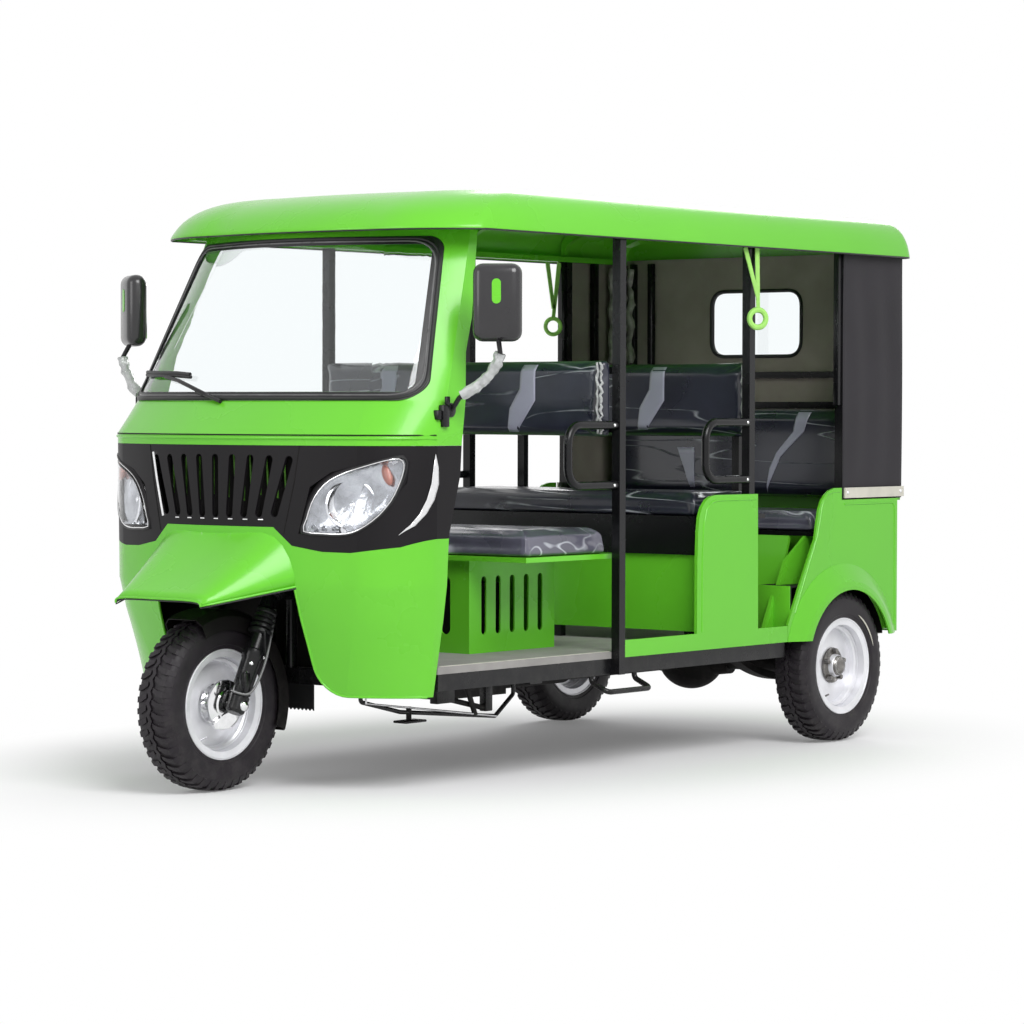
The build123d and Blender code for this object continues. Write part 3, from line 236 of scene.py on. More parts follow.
def dust_group():
    """Road dust that settles low on the vehicle, broken up by noise."""
    group, given, result = new_group(
        "road_dust", (("Top", FLOAT, 0.6), ("Amount", FLOAT, 0.3), ("Scale", FLOAT, 25.0)),
        (("Mask", FLOAT),))
    given = given.outputs
    parts = node(group, "SeparateXYZ", Vector=node(group, "TexCoord").outputs["Object"])
    low = ramp(group, parts.outputs["Z"], given["Top"], 0.0)
    broken = ramp(group, object_noise(group, given["Scale"], 6.0, Roughness=0.65), 0.42, 0.75)
    both = maths(group, "MULTIPLY", low, broken)
    group.links.new(maths(group, "MULTIPLY", both, given["Amount"]), result.inputs["Mask"])
    return group


def grain_group():
    """A fine uneven height, for moulded plastic, paint and rubber."""
    group, given, result = new_group("grain", (("Scale", FLOAT, 600.0),), (("Height", FLOAT),))
    pits = object_noise(group, given.outputs["Scale"], 3.0, Roughness=0.5)
    group.links.new(pits, result.inputs["Height"])
    return group


CLOUDY, DUST, GRAIN = cloudy_group(), dust_group(), grain_group()


def use_group(tree, group, **inputs):
    made = tree.nodes.new("ShaderNodeGroup")
    made.node_tree = group
    for key, value in inputs.items():
        set_input(tree, made.inputs[key], value)
    return made


UNEVEN = 0.05                # how far a finish's roughness wanders


def finish(name, colour, rough, clouds, grain=None, metal=0.0, specular=0.5, coat=0.0, dust=None):
    """A finish: a base colour that clouds a little, dust low down, and a grained surface.

    clouds is their amount and scale, grain is its scale and height in metres, and dust is its top,
    amount and colour."""
    material, tree, surface = new_material(
        name, Metallic=metal, Specular_IOR_Level=specular, Coat_Weight=coat, Coat_Roughness=0.08)
    cloudy = use_group(tree, CLOUDY, Color=(*colour, 1), Amount=clouds[0], Scale=clouds[1])
    base = cloudy.outputs["Color"]
    if dust:
        top, amount, dusty = dust
        settled = use_group(tree, DUST, Top=top, Amount=amount)
        base = mix_colour(tree, settled.outputs["Mask"], base, (*dusty, 1))
    tree.links.new(base, surface.inputs["Base Color"])
    gloss = ramp(tree, cloudy.outputs["Mask"], *CLOUD_RANGE,
                 max(0.02, rough - UNEVEN), min(1.0, rough + UNEVEN))
    tree.links.new(gloss, surface.inputs["Roughness"])
    if grain:
        scale, height = grain
        pits = use_group(tree, GRAIN, Scale=scale)
        bump = node(tree, "Bump", Strength=1.0, Distance=height, Height=pits.outputs["Height"])
        tree.links.new(bump.outputs[0], surface.inputs["Normal"])
    return material


def clear(name, colour, ior=1.45):
    """Clear glass or plastic."""
    return new_material(name, Base_Color=(*colour, 1), Roughness=0.02, IOR=ior, Transmission_Weight=1.0)[0]


ROAD = (0.32, 0.30, 0.27)
GREEN = finish("green_gloss_paint", (0.132, 0.545, 0.026), 0.28, (0.03, 2.0), (260, 0.00003), specular=0.35,
               coat=0.15, dust=(0.5, 0.08, (0.3, 0.42, 0.16)))
MASK_BLACK = finish("charcoal_moulding", (0.0065, 0.0055, 0.0068), 0.44, (0.12, 3.0), (1400, 0.00004),
                    specular=0.2)
ENAMEL = finish("black_enamel", (0.006, 0.006, 0.007), 0.26, (0.2, 9.0), (300, 0.00004), specular=0.32,
                dust=(0.5, 0.12, ROAD))
UNDERSIDE = finish("underbody_black", (0.007, 0.006, 0.006), 0.6, (0.3, 14.0), (220, 0.0002), specular=0.18,
                   dust=(0.5, 0.1, ROAD))
RUBBER = finish("black_rubber", (0.012, 0.012, 0.013), 0.42, (0.15, 20.0), (900, 0.00006), specular=0.4)
# Grey rubber: the brake hose's own colour, and the painted highlight along the windshield gasket
GREY_RUBBER_AND_HIGHLIGHT = finish("grey_rubber_and_painted_highlight", (0.11, 0.11, 0.112), 0.3, (0.3, 12.0), (900, 0.00006))
TYRE = finish("tyre_rubber", (0.014, 0.011, 0.0145), 0.5, (0.25, 18.0), (700, 0.0002), specular=0.3,
              dust=(0.56, 0.16, (0.16, 0.15, 0.14)))
WHEEL_SILVER = finish("wheel_silver", (0.80, 0.80, 0.83), 0.36, (0.08, 16.0), (420, 0.00005), metal=0.45)
STEEL = finish("bright_steel", (0.62, 0.62, 0.63), 0.25, (0.12, 30.0), (600, 0.00004), metal=1.0)
HUB_STEEL = finish("dark_hub_steel", (0.22, 0.21, 0.20), 0.24, (0.5, 40.0), (500, 0.0001), metal=0.95)
CAST = finish("cast_black", (0.014, 0.013, 0.013), 0.6, (0.3, 22.0), (260, 0.0004), metal=0.3, specular=0.25,
              dust=(0.5, 0.2, ROAD))
CURTAIN = finish("curtain_cloth", (0.030, 0.028, 0.032), 0.6, (0.15, 4.0), (900, 0.0001), specular=0.2)
WALL = finish("wall_cloth", (0.30, 0.265, 0.235), 0.75, (0.15, 5.0), (900, 0.0001), specular=0.2)
MAT = finish("floor_mat", (0.30, 0.29, 0.28), 0.75, (0.12, 9.0), (500, 0.0003), specular=0.25,
             dust=(0.6, 0.2, ROAD))
RED_LENS = finish("tail_lens", (0.34, 0.006, 0.005), 0.14, (0.1, 20.0), coat=0.6)
AMBER_LENS = finish("indicator_lens", (0.60, 0.17, 0.012), 0.14, (0.1, 20.0), coat=0.6)
REFLECTOR = finish("lamp_reflector", (0.50, 0.51, 0.53), 0.2, (0.3, 16.0), (60, 0.0014), metal=0.95)
MIRROR_BLACK = finish("mirror_plastic", (0.018, 0.017, 0.019), 0.24, (0.15, 8.0), (900, 0.00002), coat=0.2)
CHROME = finish("chrome_trim", (0.85, 0.85, 0.86), 0.12, (0.06, 30.0), (500, 0.00003), metal=1.0)
CREAM = finish("cream_batten", (0.62, 0.60, 0.52), 0.4, (0.08, 18.0), (600, 0.00005))
LIME = finish("lime_webbing", (0.36, 0.72, 0.16), 0.6, (0.08, 30.0), (1200, 0.0002), specular=0.25)
LAVENDER = finish("lavender_vinyl", (0.33, 0.33, 0.42), 0.32, (0.05, 10.0), (700, 0.00008), coat=0.3)
AMBER = finish("amber_bulb", (0.50, 0.20, 0.15), 0.2, (0.1, 60.0), coat=0.4)
FILM = finish("clear_wrap", (0.42, 0.43, 0.43), 0.16, (0.2, 40.0), (90, 0.004), coat=0.5)
CLOUDY_FILM = finish("cloudy_film", (0.34, 0.325, 0.30), 0.25, (0.4, 30.0), (70, 0.003), coat=0.3)
ALLOY = finish("pale_edging", (0.60, 0.58, 0.53), 0.4, (0.1, 30.0), (500, 0.00005), metal=0.3)
# The cab's green darkened as painted shade, for what shows through the grille's slots
SHADED_GREEN = finish("shaded_green_paint", (0.055, 0.16, 0.016), 0.4, (0.5, 40.0), specular=0.3)
GLASS = clear("windshield_glass_clear", (0.93, 0.975, 0.985))
LENS = clear("lamp_lens_clear", (0.97, 0.98, 1.0), ior=1.3)


def wrinkled_vinyl(name, base, crease_highlight, width=0.013, coat=0.8):
    """Dark vinyl under a shrunk clear film that is creased along slanting lines, with pale painted highlights
    along the creases.

    crease_highlight is how pale the painted highlights on the creases are, and width how wide."""
    material = finish(name, base, 0.3, (0.25, 6.0), coat=coat, specular=0.4)
    tree = material.node_tree
    surface = tree.nodes["Principled BSDF"]
    surface.inputs["Coat Roughness"].default_value = 0.12
    place = node(tree, "TexCoord").outputs["Object"]
    slant = node(tree, "Mapping", Vector=place, Rotation=(0.85, 0.3, 0.5), Scale=(5.0, 0.8, 8.0)).outputs[0]
    warp = node(tree, "TexNoise", Vector=slant, Scale=0.9, Detail=2.0).outputs["Color"]
    bent = maths(tree, "MULTIPLY_ADD", warp, (0.16, 0.16, 0.16), slant, kind="VectorMath")
    level = node(tree, "TexNoise", Vector=bent, Scale=1.6, Detail=1.0).outputs[0]
    away = maths(tree, "ABSOLUTE", maths(tree, "SUBTRACT", level, 0.5))
    line = ramp(tree, away, 0.0, width, 1.0, 0.0)
    patchy = node(tree, "TexNoise", Vector=place, Scale=5.0, Detail=3.0).outputs[0]
    shown = ramp(tree, patchy, 0.42, 0.6, 0.0, crease_highlight)
    before = surface.inputs["Base Color"].links[0].from_socket
    # The pale crease lines are painted highlights, mixed into the base colour
    colour = mix_colour(tree, maths(tree, "MULTIPLY", line, shown), before, (0.62, 0.64, 0.70, 1))
    tree.links.new(colour, surface.inputs["Base Color"])
    creases = node(tree, "TexNoise", {"noise_type": "RIDGED_MULTIFRACTAL"}, Vector=bent, Scale=1.3,
                   Detail=4.0, Roughness=0.5).outputs[0]
    height = maths(tree, "MULTIPLY_ADD", line, 0.6, creases)
    bump = node(tree, "Bump", Strength=0.9, Distance=0.005, Height=height)
    tree.links.new(bump.outputs[0], surface.inputs["Coat Normal"])
    return material


VINYL = wrinkled_vinyl("seat_vinyl", (0.016, 0.018, 0.033), 0.6)
# A lighter copy of the seat vinyl for the seat pads' tops: its base colour is raised as painted sheen, and
# its crease highlights are wider and paler
SHEEN_VINYL = wrinkled_vinyl("seat_vinyl_painted_sheen", (0.09, 0.088, 0.122), 1.0, width=0.03)
# A copy of the seat vinyl for the middle pad, with less coat and a slightly darker base colour as painted
# shade
DULL_SHADED_VINYL = wrinkled_vinyl("dull_seat_vinyl_painted_shade", (0.014, 0.015, 0.027), 0.6, coat=0.3)
PAD_FINISH = {"driver_seat_pad": SHEEN_VINYL, "rear_seat_pad": SHEEN_VINYL, "middle_seat_pad": DULL_SHADED_VINYL}

NODE_FINISH = (
    (GREEN, "front_cowl front_apron nose_fender windshield_frame roof_shell engine_box seat_side_panels "
            "canopy_rails quarter_panels tail_panel side_sills middle_riser rear_riser seat_gussets"),
    (MASK_BLACK, "front_mask dashboard"),
    (ENAMEL, "canopy_posts backrest_rails grab_handles handlebar front_fork chassis_frame steering_neck "
             "side_steps middle_bench rear_bench control_rods"),
    (UNDERSIDE, "firewall front_mudguard drive_shaft rear_axle wheel_houses"),
    (CAST, "engine_block exhaust"),
    (RUBBER, "windshield_gasket mud_flap"),
    (TYRE, "front_tyre rear_tyre_left rear_tyre_right"),
    (WHEEL_SILVER, "front_wheel rear_wheel_left rear_wheel_right"),
    (VINYL, "driver_cushion driver_backrest middle_cushion middle_backrest rear_cushion rear_backrest"),
    (CURTAIN, "side_curtains"),
    (CREAM, "curtain_battens"),
    (WALL, "rear_wall"),
    (MAT, "floor_pan"),
    (RED_LENS, "tail_lamps"),
    (REFLECTOR, "headlamps"),
    (GLASS, "windshield_glass rear_window"),
)
for material, names in NODE_FINISH:
    for name in names.split():
        mesh = nodes[name].data
        mesh.materials.clear()
        mesh.materials.append(material)


# ---- how pieces are made ----
def piece_from(name, bm, material, body="body", replaced=(), sharp=35, outward=True):
    """A finished piece from a bmesh, with its place in its mesh."""
    if outward:
        bmesh.ops.recalc_face_normals(bm, faces=bm.faces)
    mesh = new_mesh(name, bm)
    piece = new_object(name, mesh)
    mesh.materials.append(material)
    mesh.shade_smooth()
    mesh.set_sharp_from_angle(angle=radians(sharp))
    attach(piece, body)
    if replaced:
        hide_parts(*replaced)
    return piece


MERGE = 0.00001              # points closer than this are one point


def fatten(piece, thickness):
    """Give a sheet its wall, behind its face."""
    wall = piece.modifiers.new("wall", "SOLIDIFY")
    wall.thickness = thickness
    wall.offset = -1


def take_shape(piece):
    """Put a piece's modified shape into its mesh and drop its modifiers."""
    made = bpy.data.meshes.new_from_object(piece.evaluated_get(bpy.context.evaluated_depsgraph_get()))
    piece.modifiers.clear()
    old, piece.data = piece.data, made
    bpy.data.meshes.remove(old)
    made.name = piece.name
    return made


def copy_of(node_name):
    """A bmesh of a CAD node, with its doubled points merged."""
    bm = bmesh.new()
    bm.from_mesh(nodes[node_name].data)
    bmesh.ops.remove_doubles(bm, verts=bm.verts, dist=MERGE)
    return bm


def bridge(bm, rows, closed=False):
    """Join each row of vertices to the next by a strip of faces."""
    lines = [[bm.edges.new(ends) for ends in zip(row, row[1:] + row[:1] * closed)] for row in rows]
    faces = []
    for one, two in zip(lines, lines[1:]):
        faces += bmesh.ops.bridge_loops(bm, edges=one + two)["faces"]
    return faces


def pair_up(bm, loops):
    """Join closed loops point to point, where the bridge operator would turn one against the next."""
    faces = []
    for one, two in zip(loops, loops[1:]):
        for a, b, c, d in zip(one, one[1:] + one[:1], two[1:] + two[:1], two):
            faces.append(bm.faces.new((a, b, c, d)))
    return faces


def put(bm, kind, place, scale=None, turn=None, **settings):
    """Add a primitive, scaled, turned and moved to its place."""
    verts = getattr(bmesh.ops, "create_" + kind)(bm, **settings)["verts"]
    if scale is not None:
        bmesh.ops.scale(bm, vec=scale, verts=verts)
    if turn is not None:
        bmesh.ops.rotate(bm, cent=(0, 0, 0), matrix=turn, verts=verts)
    bmesh.ops.translate(bm, vec=place, verts=verts)
    return verts


def round_edges(bm, verts, offset, segments):
    edges = list({e for v in verts for e in v.link_edges})
    bmesh.ops.bevel(bm, geom=edges, offset=offset, segments=segments, profile=0.5, affect="EDGES",
                    material=-1)


def facing(direction):
    """The turn that points a primitive's z axis in a direction."""
    return Vector(direction).to_track_quat("Z", "Y").to_matrix()


def spin_ring(bm, profile, centre, across, up, steps=96):
    """Spin an outline of (across, radius) in millimetres about an axle; across is its direction."""
    verts = [bm.verts.new(centre + across * (a * MM) + up * (r * MM)) for a, r in profile]
    edges = [bm.edges.new(ends) for ends in zip(verts, verts[1:] + verts[:1])]
    bmesh.ops.spin(bm, geom=verts + edges, cent=centre, axis=across, angle=2 * pi, steps=steps,
                   use_merge=True)


def round_line(middle_a, middle_r, size):
    """An eight-sided outline for spin_ring."""
    return [(middle_a + size * cos(t * pi / 4), middle_r + size * sin(t * pi / 4)) for t in range(8)]


def box(bm, low, high, bevel=0.0, segments=2):
    """A box between two corners in millimetres of the CAD source's frame, its edges rounded."""
    low, high = at(*low), at(*high)
    verts = put(bm, "cube", (low + high) / 2, [abs(b - a) for a, b in zip(low, high)], size=1.0)
    if bevel:
        round_edges(bm, verts, bevel * MM, segments)


def dome(bm, centre, direction, radius, height):
    """A low round bolt head on a face."""
    put(bm, "uvsphere", centre, (1, 1, height / radius), facing(direction), u_segments=16, v_segments=8,
        radius=radius * MM)


def line_piece(name, lines, radius, material, body="body", closed=False, smooth=False):
    """Round bars along lines of points in metres, joined into one piece."""
    curve = bpy.data.curves.new(name, "CURVE")
    curve.dimensions = "3D"
    curve.bevel_depth = radius * MM
    curve.bevel_resolution = 3
    curve.use_fill_caps = True
    for points in lines:
        spline = curve.splines.new("NURBS" if smooth else "POLY")
        spline.points.add(len(points) - 1)
        for target, point in zip(spline.points, points):
            target.co = (*point, 1)
        spline.use_cyclic_u = closed
        if smooth:
            spline.order_u = 3
            spline.use_endpoint_u = not closed
    source = bpy.data.objects.new(name + "_line", curve)
    mesh = bpy.data.meshes.new_from_object(source)
    bm = bmesh.new()
    bm.from_mesh(mesh)
    bpy.data.objects.remove(source)
    bpy.data.curves.remove(curve)
    bpy.data.meshes.remove(mesh)
    return piece_from(name, bm, material, body)


def thicken(bm, faces, depth):
    """Extrude faces by a vector."""
    made = bmesh.ops.extrude_face_region(bm, geom=faces)["geom"]
    bmesh.ops.translate(bm, vec=depth, verts=[v for v in made if isinstance(v, bmesh.types.BMVert)])


def path(points, side=1):
    """Points of (x, y, z) in millimetres, or their mirror image, as points of the scene."""
    return [at(x, side * y, z) for x, y, z in points]


def boxes(bm, corners, bevel=0.0, segments=2):
    """Boxes between pairs of corners, on both sides of the vehicle."""
    for side in (1, -1):
        for (ax, ay, az), (bx, by, bz) in corners:
            box(bm, (ax, side * ay, az), (bx, side * by, bz), bevel, segments)


def slab(bm, points, depth):
    """A plate from an outline of points in metres, thickened by a vector."""
    thicken(bm, [bm.faces.new([bm.verts.new(p) for p in points])], depth)


def crumple(piece, depth, scale, seed):
    """Push a piece's points about by noise, as in crushed film or slack cloth."""
    for vert in piece.data.vertices:
        push = noise.noise(vert.co * scale + Vector((seed, 0, 0)))
        vert.co += vert.normal * push * depth


def between(p0, p1, p2, p3, count):
    """Points from p1 towards p2, on a curve through all four."""
    def bent(a, b, c, d, t):
        square, cube = 2 * a - 5 * b + 4 * c - d, 3 * b - a - 3 * c + d
        return 0.5 * (2 * b + (c - a) * t + square * t * t + cube * t ** 3)

    return [tuple(bent(*parts, j / count) for parts in zip(p0, p1, p2, p3)) for j in range(count)]


def smooth_loop(points, count):
    """A closed curve through points, with count steps between each two."""
    total = len(points)
    line = []
    for i in range(total):
        line += between(*(points[(i + k - 1) % total] for k in range(4)), count)
    return line


def smooth_rows(rows, count):
    """More rows between the given ones, on a curve through them."""
    last = len(rows) - 1
    line = []
    for i in range(last):
        line += between(*(rows[min(max(i + k - 1, 0), last)] for k in range(4)), count)
    return line + [rows[-1]]


def round_corners(points, radius, count=6):
    """A closed line through points, its corners turned into short curves."""
    line = []
    for i, point in enumerate(points):
        before, after = Vector(points[i - 1]), Vector(points[(i + 1) % len(points)])
        point = Vector(point)
        first, last = (point + (end - point).normalized() * radius for end in (before, after))
        for j in range(count + 1):
            t = j / count
            line.append(tuple((1 - t) ** 2 * first + 2 * t * (1 - t) * point + t * t * last))
    return line


def oblong(x, half, low, high, bend, count):
    """A line round an oblong across the vehicle, with rounded corners."""
    line = round_corners(((-half, low), (half, low), (half, high), (-half, high)), bend, count)
    return [at(x, y, z) for y, z in line]


# ---- the cab's skin, for what is fitted on it ----
# height, nose x, shoulder x, shoulder y, corner x, corner y, side x, side y
CAB_SECTIONS = (
    (300, 1275, 1222, 400, 1160, 525, 1080, 610),
    (540, 1357, 1273, 475, 1201, 575, 1087.5, 638.5),
    (640, 1384, 1289, 498, 1214, 590, 1090, 647),
    (1104, 1388, 1292, 500, 1217, 594, 1090, 650),
    (1209, 1285, 1208, 470, 1140, 582, 1040, 645),
    (1770, 1036, 954, 328, 895, 466, 820, 563),
)


def arc_points(a, b, c, count):
    """Points in plan on the arc from a through b to c."""
    (ax, ay), (bx, by), (cx, cy) = a, b, c
    d = 2 * (ax * (by - cy) + bx * (cy - ay) + cx * (ay - by))
    aa, bb, cc = ax * ax + ay * ay, bx * bx + by * by, cx * cx + cy * cy
    ox = (aa * (by - cy) + bb * (cy - ay) + cc * (ay - by)) / d
    oy = (aa * (cx - bx) + bb * (ax - cx) + cc * (bx - ax)) / d
    r = hypot(ax - ox, ay - oy)
    first, last = atan2(ay - oy, ax - ox), atan2(cy - oy, cx - ox)
    angles = [first + (last - first) * i / count for i in range(count + 1)]
    return [(ox + r * cos(angle), oy + r * sin(angle)) for angle in angles]


def half_section(row):
    """Half of the cab's outline in plan at one height, from its nose to its side."""
    _, nose, sx, sy, cx, cy, ex, ey = row
    nose_half = arc_points((sx, -sy), (nose, 0), (sx, sy), 24)[12:]
    return nose_half + arc_points((sx, sy), (cx, cy), (ex, ey), 16)[1:]


HALVES = [(row[0], half_section(row)) for row in CAB_SECTIONS]


def skin(y, z, out=0.0):
    """The point on the cab's skin at a width and a height, or a little outside it, in metres."""
    side, y = (-1 if y < 0 else 1), abs(y)
    for (low, first), (top, second) in zip(HALVES, HALVES[1:]):
        if z <= top or top == HALVES[-1][0]:
            break
    share = (z - low) / (top - low)
    line = [tuple((1 - share) * one + share * two for one, two in zip(a, b)) for a, b in zip(first, second)]
    for (ax, ay), (bx, by) in zip(line, line[1:]):
        if ay <= y <= by:
            break
    part = min(max((y - ay) / (by - ay), 0.0), 1.0)
    x = ax + part * (bx - ax)
    slope = Vector((by - ay, ax - bx, 0)).normalized()
    return at(x + out * slope.x, side * (min(y, by) + out * slope.y), z)


def along_skin(points, step, out=0.0):
    """A line over the skin through points of (y, z), with a point every so many millimetres."""
    line = []
    for (ay, az), (by, bz) in zip(points, points[1:]):
        count = max(1, int(hypot(by - ay, bz - az) / step))
        line += [skin(ay + (by - ay) * i / count, az + (bz - az) * i / count, out) for i in range(count)]
    return line + [skin(*points[-1], out)]


# ---- tyres ----
TYRE_R, RIM_R = 270.0, 170.0
CARCASS = ((51, 153), (58, 166), (63, 184), (65.5, 186), (67, 192), (68, 215), (68.5, 224), (66, 236),
           (61, 247), (54, 257), (50, 259.5), (24, 263), (0, 264))
LUGS = 46
# A shoulder block in four sections: across, its top's and foot's radius, and from where to where in lugs
BLOCK = ((12, 269.6, 261, -0.30, 0.10), (33, 268.6, 260, -0.06, 0.44), (51, 266, 257, 0.02, 0.52),
         (66, 240, 232, 0.05, 0.42))
RIB = ((-7, 262), (-7, 269.8), (7, 269.8), (7, 262))    # the centre rib's section, across and radius


def make_tyre(tyre, x, y, side, body):
    """A tyre with a zigzag centre rib, and blocks that run over each shoulder."""
    bm = bmesh.new()
    centre, across = at(x, y, TYRE_R), Vector((0, side, 0))
    spin_ring(bm, CARCASS + tuple((-a, r) for a, r in CARCASS[-2::-1]), centre, across, UP)

    def on_tread(a, r, lugs):
        """A vertex on the tread, so many lugs round it."""
        out = Matrix.Rotation(lugs * 2 * pi / LUGS, 3, across) @ UP
        return bm.verts.new(centre + across * (a * MM) + out * (r * MM))

    def go_round(rows, faces):
        """Repeat one lug's tread all the way round."""
        verts = [v for row in rows for v in row]
        edges = list({e for f in faces for e in f.edges})
        bmesh.ops.spin(bm, geom=verts + edges + faces, cent=centre, axis=across, angle=2 * pi, steps=LUGS,
                       use_duplicate=True)
        bmesh.ops.delete(bm, geom=verts, context="VERTS")

    for half, phase in ((1, 0.0), (-1, 0.5)):
        rings = []
        for a, top, low, first, last in BLOCK:
            a *= half
            first += phase
            last += phase
            rings.append([on_tread(a, top, first), on_tread(a, top, last), on_tread(a * 0.97, low, last),
                          on_tread(a * 0.97, low, first)])
        go_round(rings, pair_up(bm, rings) + [bm.faces.new(rings[0]), bm.faces.new(rings[-1][::-1])])
    zigzag = [[on_tread(a + shift, r, lugs) for a, r in RIB]
              for lugs, shift in ((0, -4.5), (0.5, 4.5), (1, -4.5))]
    go_round(zigzag, bridge(bm, zigzag))
    bmesh.ops.remove_doubles(bm, verts=bm.verts, dist=MERGE)
    piece_from(tyre + "_treaded", bm, TYRE, body, (tyre,), sharp=30)


FRONT_X, REAR_X, REAR_Y = 1410.0, -1150.0, 604.0
# name, tyre's node, x, y, the side that its hub cap is on, how many nuts
WHEELS = (
    ("front", "front_tyre", FRONT_X, 0, 1, 4),
    ("rear_left", "rear_tyre_left", REAR_X, REAR_Y, 1, 5),
    ("rear_right", "rear_tyre_right", REAR_X, -REAR_Y, -1, 5),
)
for name, tyre, x, y, side, _ in WHEELS:
    make_tyre(tyre, x, y, side, name + "_wheel_set")

# A pale curve painted on the left rear tyre's sidewall as a highlight: where it starts and ends, and its
# radius
HIGHLIGHT_FROM, HIGHLIGHT_TO, HIGHLIGHT_R = 116.0, 162.0, 198.0    # degrees round the tyre from ahead, and radius


def make_tyre_painted_highlight():
    """A painted highlight: a short pale curve on the left rear tyre's sidewall."""
    bm = bmesh.new()
    face = at(REAR_X, REAR_Y + 68.8, TYRE_R)
    rows = []
    for i in range(13):
        angle = radians(HIGHLIGHT_FROM + (HIGHLIGHT_TO - HIGHLIGHT_FROM) * i / 12)
        half = 3.2 * sin(pi * i / 12) ** 0.5 + 0.2
        out = Vector((cos(angle), 0, sin(angle)))
        rows.append([bm.verts.new(face + out * ((HIGHLIGHT_R + half * k) * MM)) for k in (-1, 1)])
    bridge(bm, rows)
    fatten(piece_from("tyre_painted_highlight", bm, CREAM, "rear_left_wheel_set", outward=False), 0.0008)


make_tyre_painted_highlight()


# ---- wheel centres ----
def make_wheel_centre(name, x, y, side, nuts):
    """What is bolted in a wheel's middle: a domed cap, its nuts and the tyre's valve."""
    bm = bmesh.new()
    centre, across = at(x, y, TYRE_R), Vector((0, side, 0))
    spin_ring(bm, ((14, 64), (20, 62), (26, 40), (44, 36), (52, 30), (56, 18), (57, 0.5), (54, 0.5), (50, 18),
                   (12, 40)), centre, across, UP, steps=40)
    for i in range(nuts):
        out = Matrix.Rotation(i * 2 * pi / nuts, 3, across) @ UP
        put(bm, "cone", centre + out * 0.052 + across * 0.026, turn=facing(across), cap_ends=True, segments=6,
            radius1=0.011, radius2=0.009, depth=0.022)
    valve = Matrix.Rotation(2.6, 3, across) @ UP
    put(bm, "cone", centre + valve * 0.125 + across * 0.026, turn=facing(across + valve * -0.6),
        cap_ends=True, segments=10, radius1=0.004, radius2=0.003, depth=0.036)
    piece_from(name + "_hub_cap", bm, HUB_STEEL if nuts > 4 else CHROME, name + "_wheel_set")


def make_rim_rings(name, x, y):
    """Rolled edges and a step pressed into a wheel, each side."""
    bm = bmesh.new()
    for side in (1, -1):
        for a, r, size in ((60, RIM_R - 1, 3.2), (31, RIM_R - 30, 2.4)):
            spin_ring(bm, round_line(a, r, size), at(x, y, TYRE_R), Vector((0, side, 0)), UP, steps=72)
    piece_from(name + "_rim_rings", bm, WHEEL_SILVER, name + "_wheel_set")


for name, _, x, y, side, nuts in WHEELS[1:] + WHEELS[:1]:
    make_wheel_centre(name, x, y, side, nuts)
for name, _, x, y, *_ in WHEELS:
    make_rim_rings(name, x, y)


def make_brake_plate():
    """The front brake's cover and its lever, between the wheel and the left fork leg."""
    bm = bmesh.new()
    spin_ring(bm, ((58, 18), (58, 74), (60, 78), (66, 76), (70, 68), (71, 46), (76, 42), (78, 22), (78, 18)),
              at(FRONT_X, 0, TYRE_R), Vector((0, 1, 0)), UP, steps=64)
    lever = ((1398, 262), (1424, 246), (1478, 212), (1470, 200), (1408, 196), (1372, 222))
    slab(bm, [at(x, 72, z) for x, z in lever], Vector((0, 0.008, 0)))
    piece_from("brake_cover", bm, CHROME, "steering")


make_brake_plate()


# ---- fork ----
RAKE = radians(26.0)
FORK_DIRECTION = Vector((-sin(RAKE), 0, cos(RAKE)))
# A lower leg: how far along it from the axle, and its radius there
LEG_OUTLINE = ((-26, 0.5), (-26, 22), (-18, 30), (30, 32), (34, 28), (60, 28), (64, 31), (150, 31), (156, 34),
               (180, 34), (186, 28), (236, 27), (236, 0.5))


def make_fork_dress():
    """Gaiters, lower legs and clamps on both fork legs, and the axle's nuts."""
    gaiters, legs, bright = bmesh.new(), bmesh.new(), bmesh.new()
    out = Vector((cos(RAKE), 0, sin(RAKE)))
    for side in (1, -1):
        foot = at(FRONT_X, side * 113, TYRE_R)
        across = Vector((0, side, 0))
        rings = []
        for i in range(5):
            a, r = 236 + 17 * i, 41 - 2 * i
            rings += [(a, 30), (a + 4, r), (a + 12, r), (a + 16, 30)]
        spin_ring(gaiters, rings + [(330, 18), (232, 18)], foot, FORK_DIRECTION, out, steps=32)
        coil = [(316 + 10 * i + 4 * j, 22 if j else 17) for i in range(8) for j in (0, 1)]
        spin_ring(gaiters, coil + [(396, 10), (316, 10)], foot, FORK_DIRECTION, out, steps=20)
        spin_ring(legs, LEG_OUTLINE, foot, FORK_DIRECTION, out, steps=32)
        dome(bright, foot + across * 0.031, across, 17, 12)
        for along, away in ((58, 20), (96, 24), (134, 20), (172, -22)):
            dome(bright, foot + FORK_DIRECTION * (along * MM) + out * (away * MM) + across * 0.024,
                 (across + out * (away * 0.03)).normalized(), 8, 7)
    boxes(legs, (((1386, 126, 296), (1412, 151, 372)), ((1300, 118, 420), (1322, 152, 500))), 4.0)
    piece_from("fork_gaiters", gaiters, RUBBER, "steering", sharp=25)
    piece_from("fork_lower_legs", legs, ENAMEL, "steering")
    piece_from("fork_bolts", bright, CHROME, "steering")
    hose = ((1262, 138, 560), (1292, 150, 480), (1330, 158, 392), (1378, 158, 318), (1412, 150, 300),
            (1440, 120, 318))
    line_piece("front_brake_hose", [path(hose)], 4.0, GREY_RUBBER_AND_HIGHLIGHT, "steering", smooth=True)


make_fork_dress()


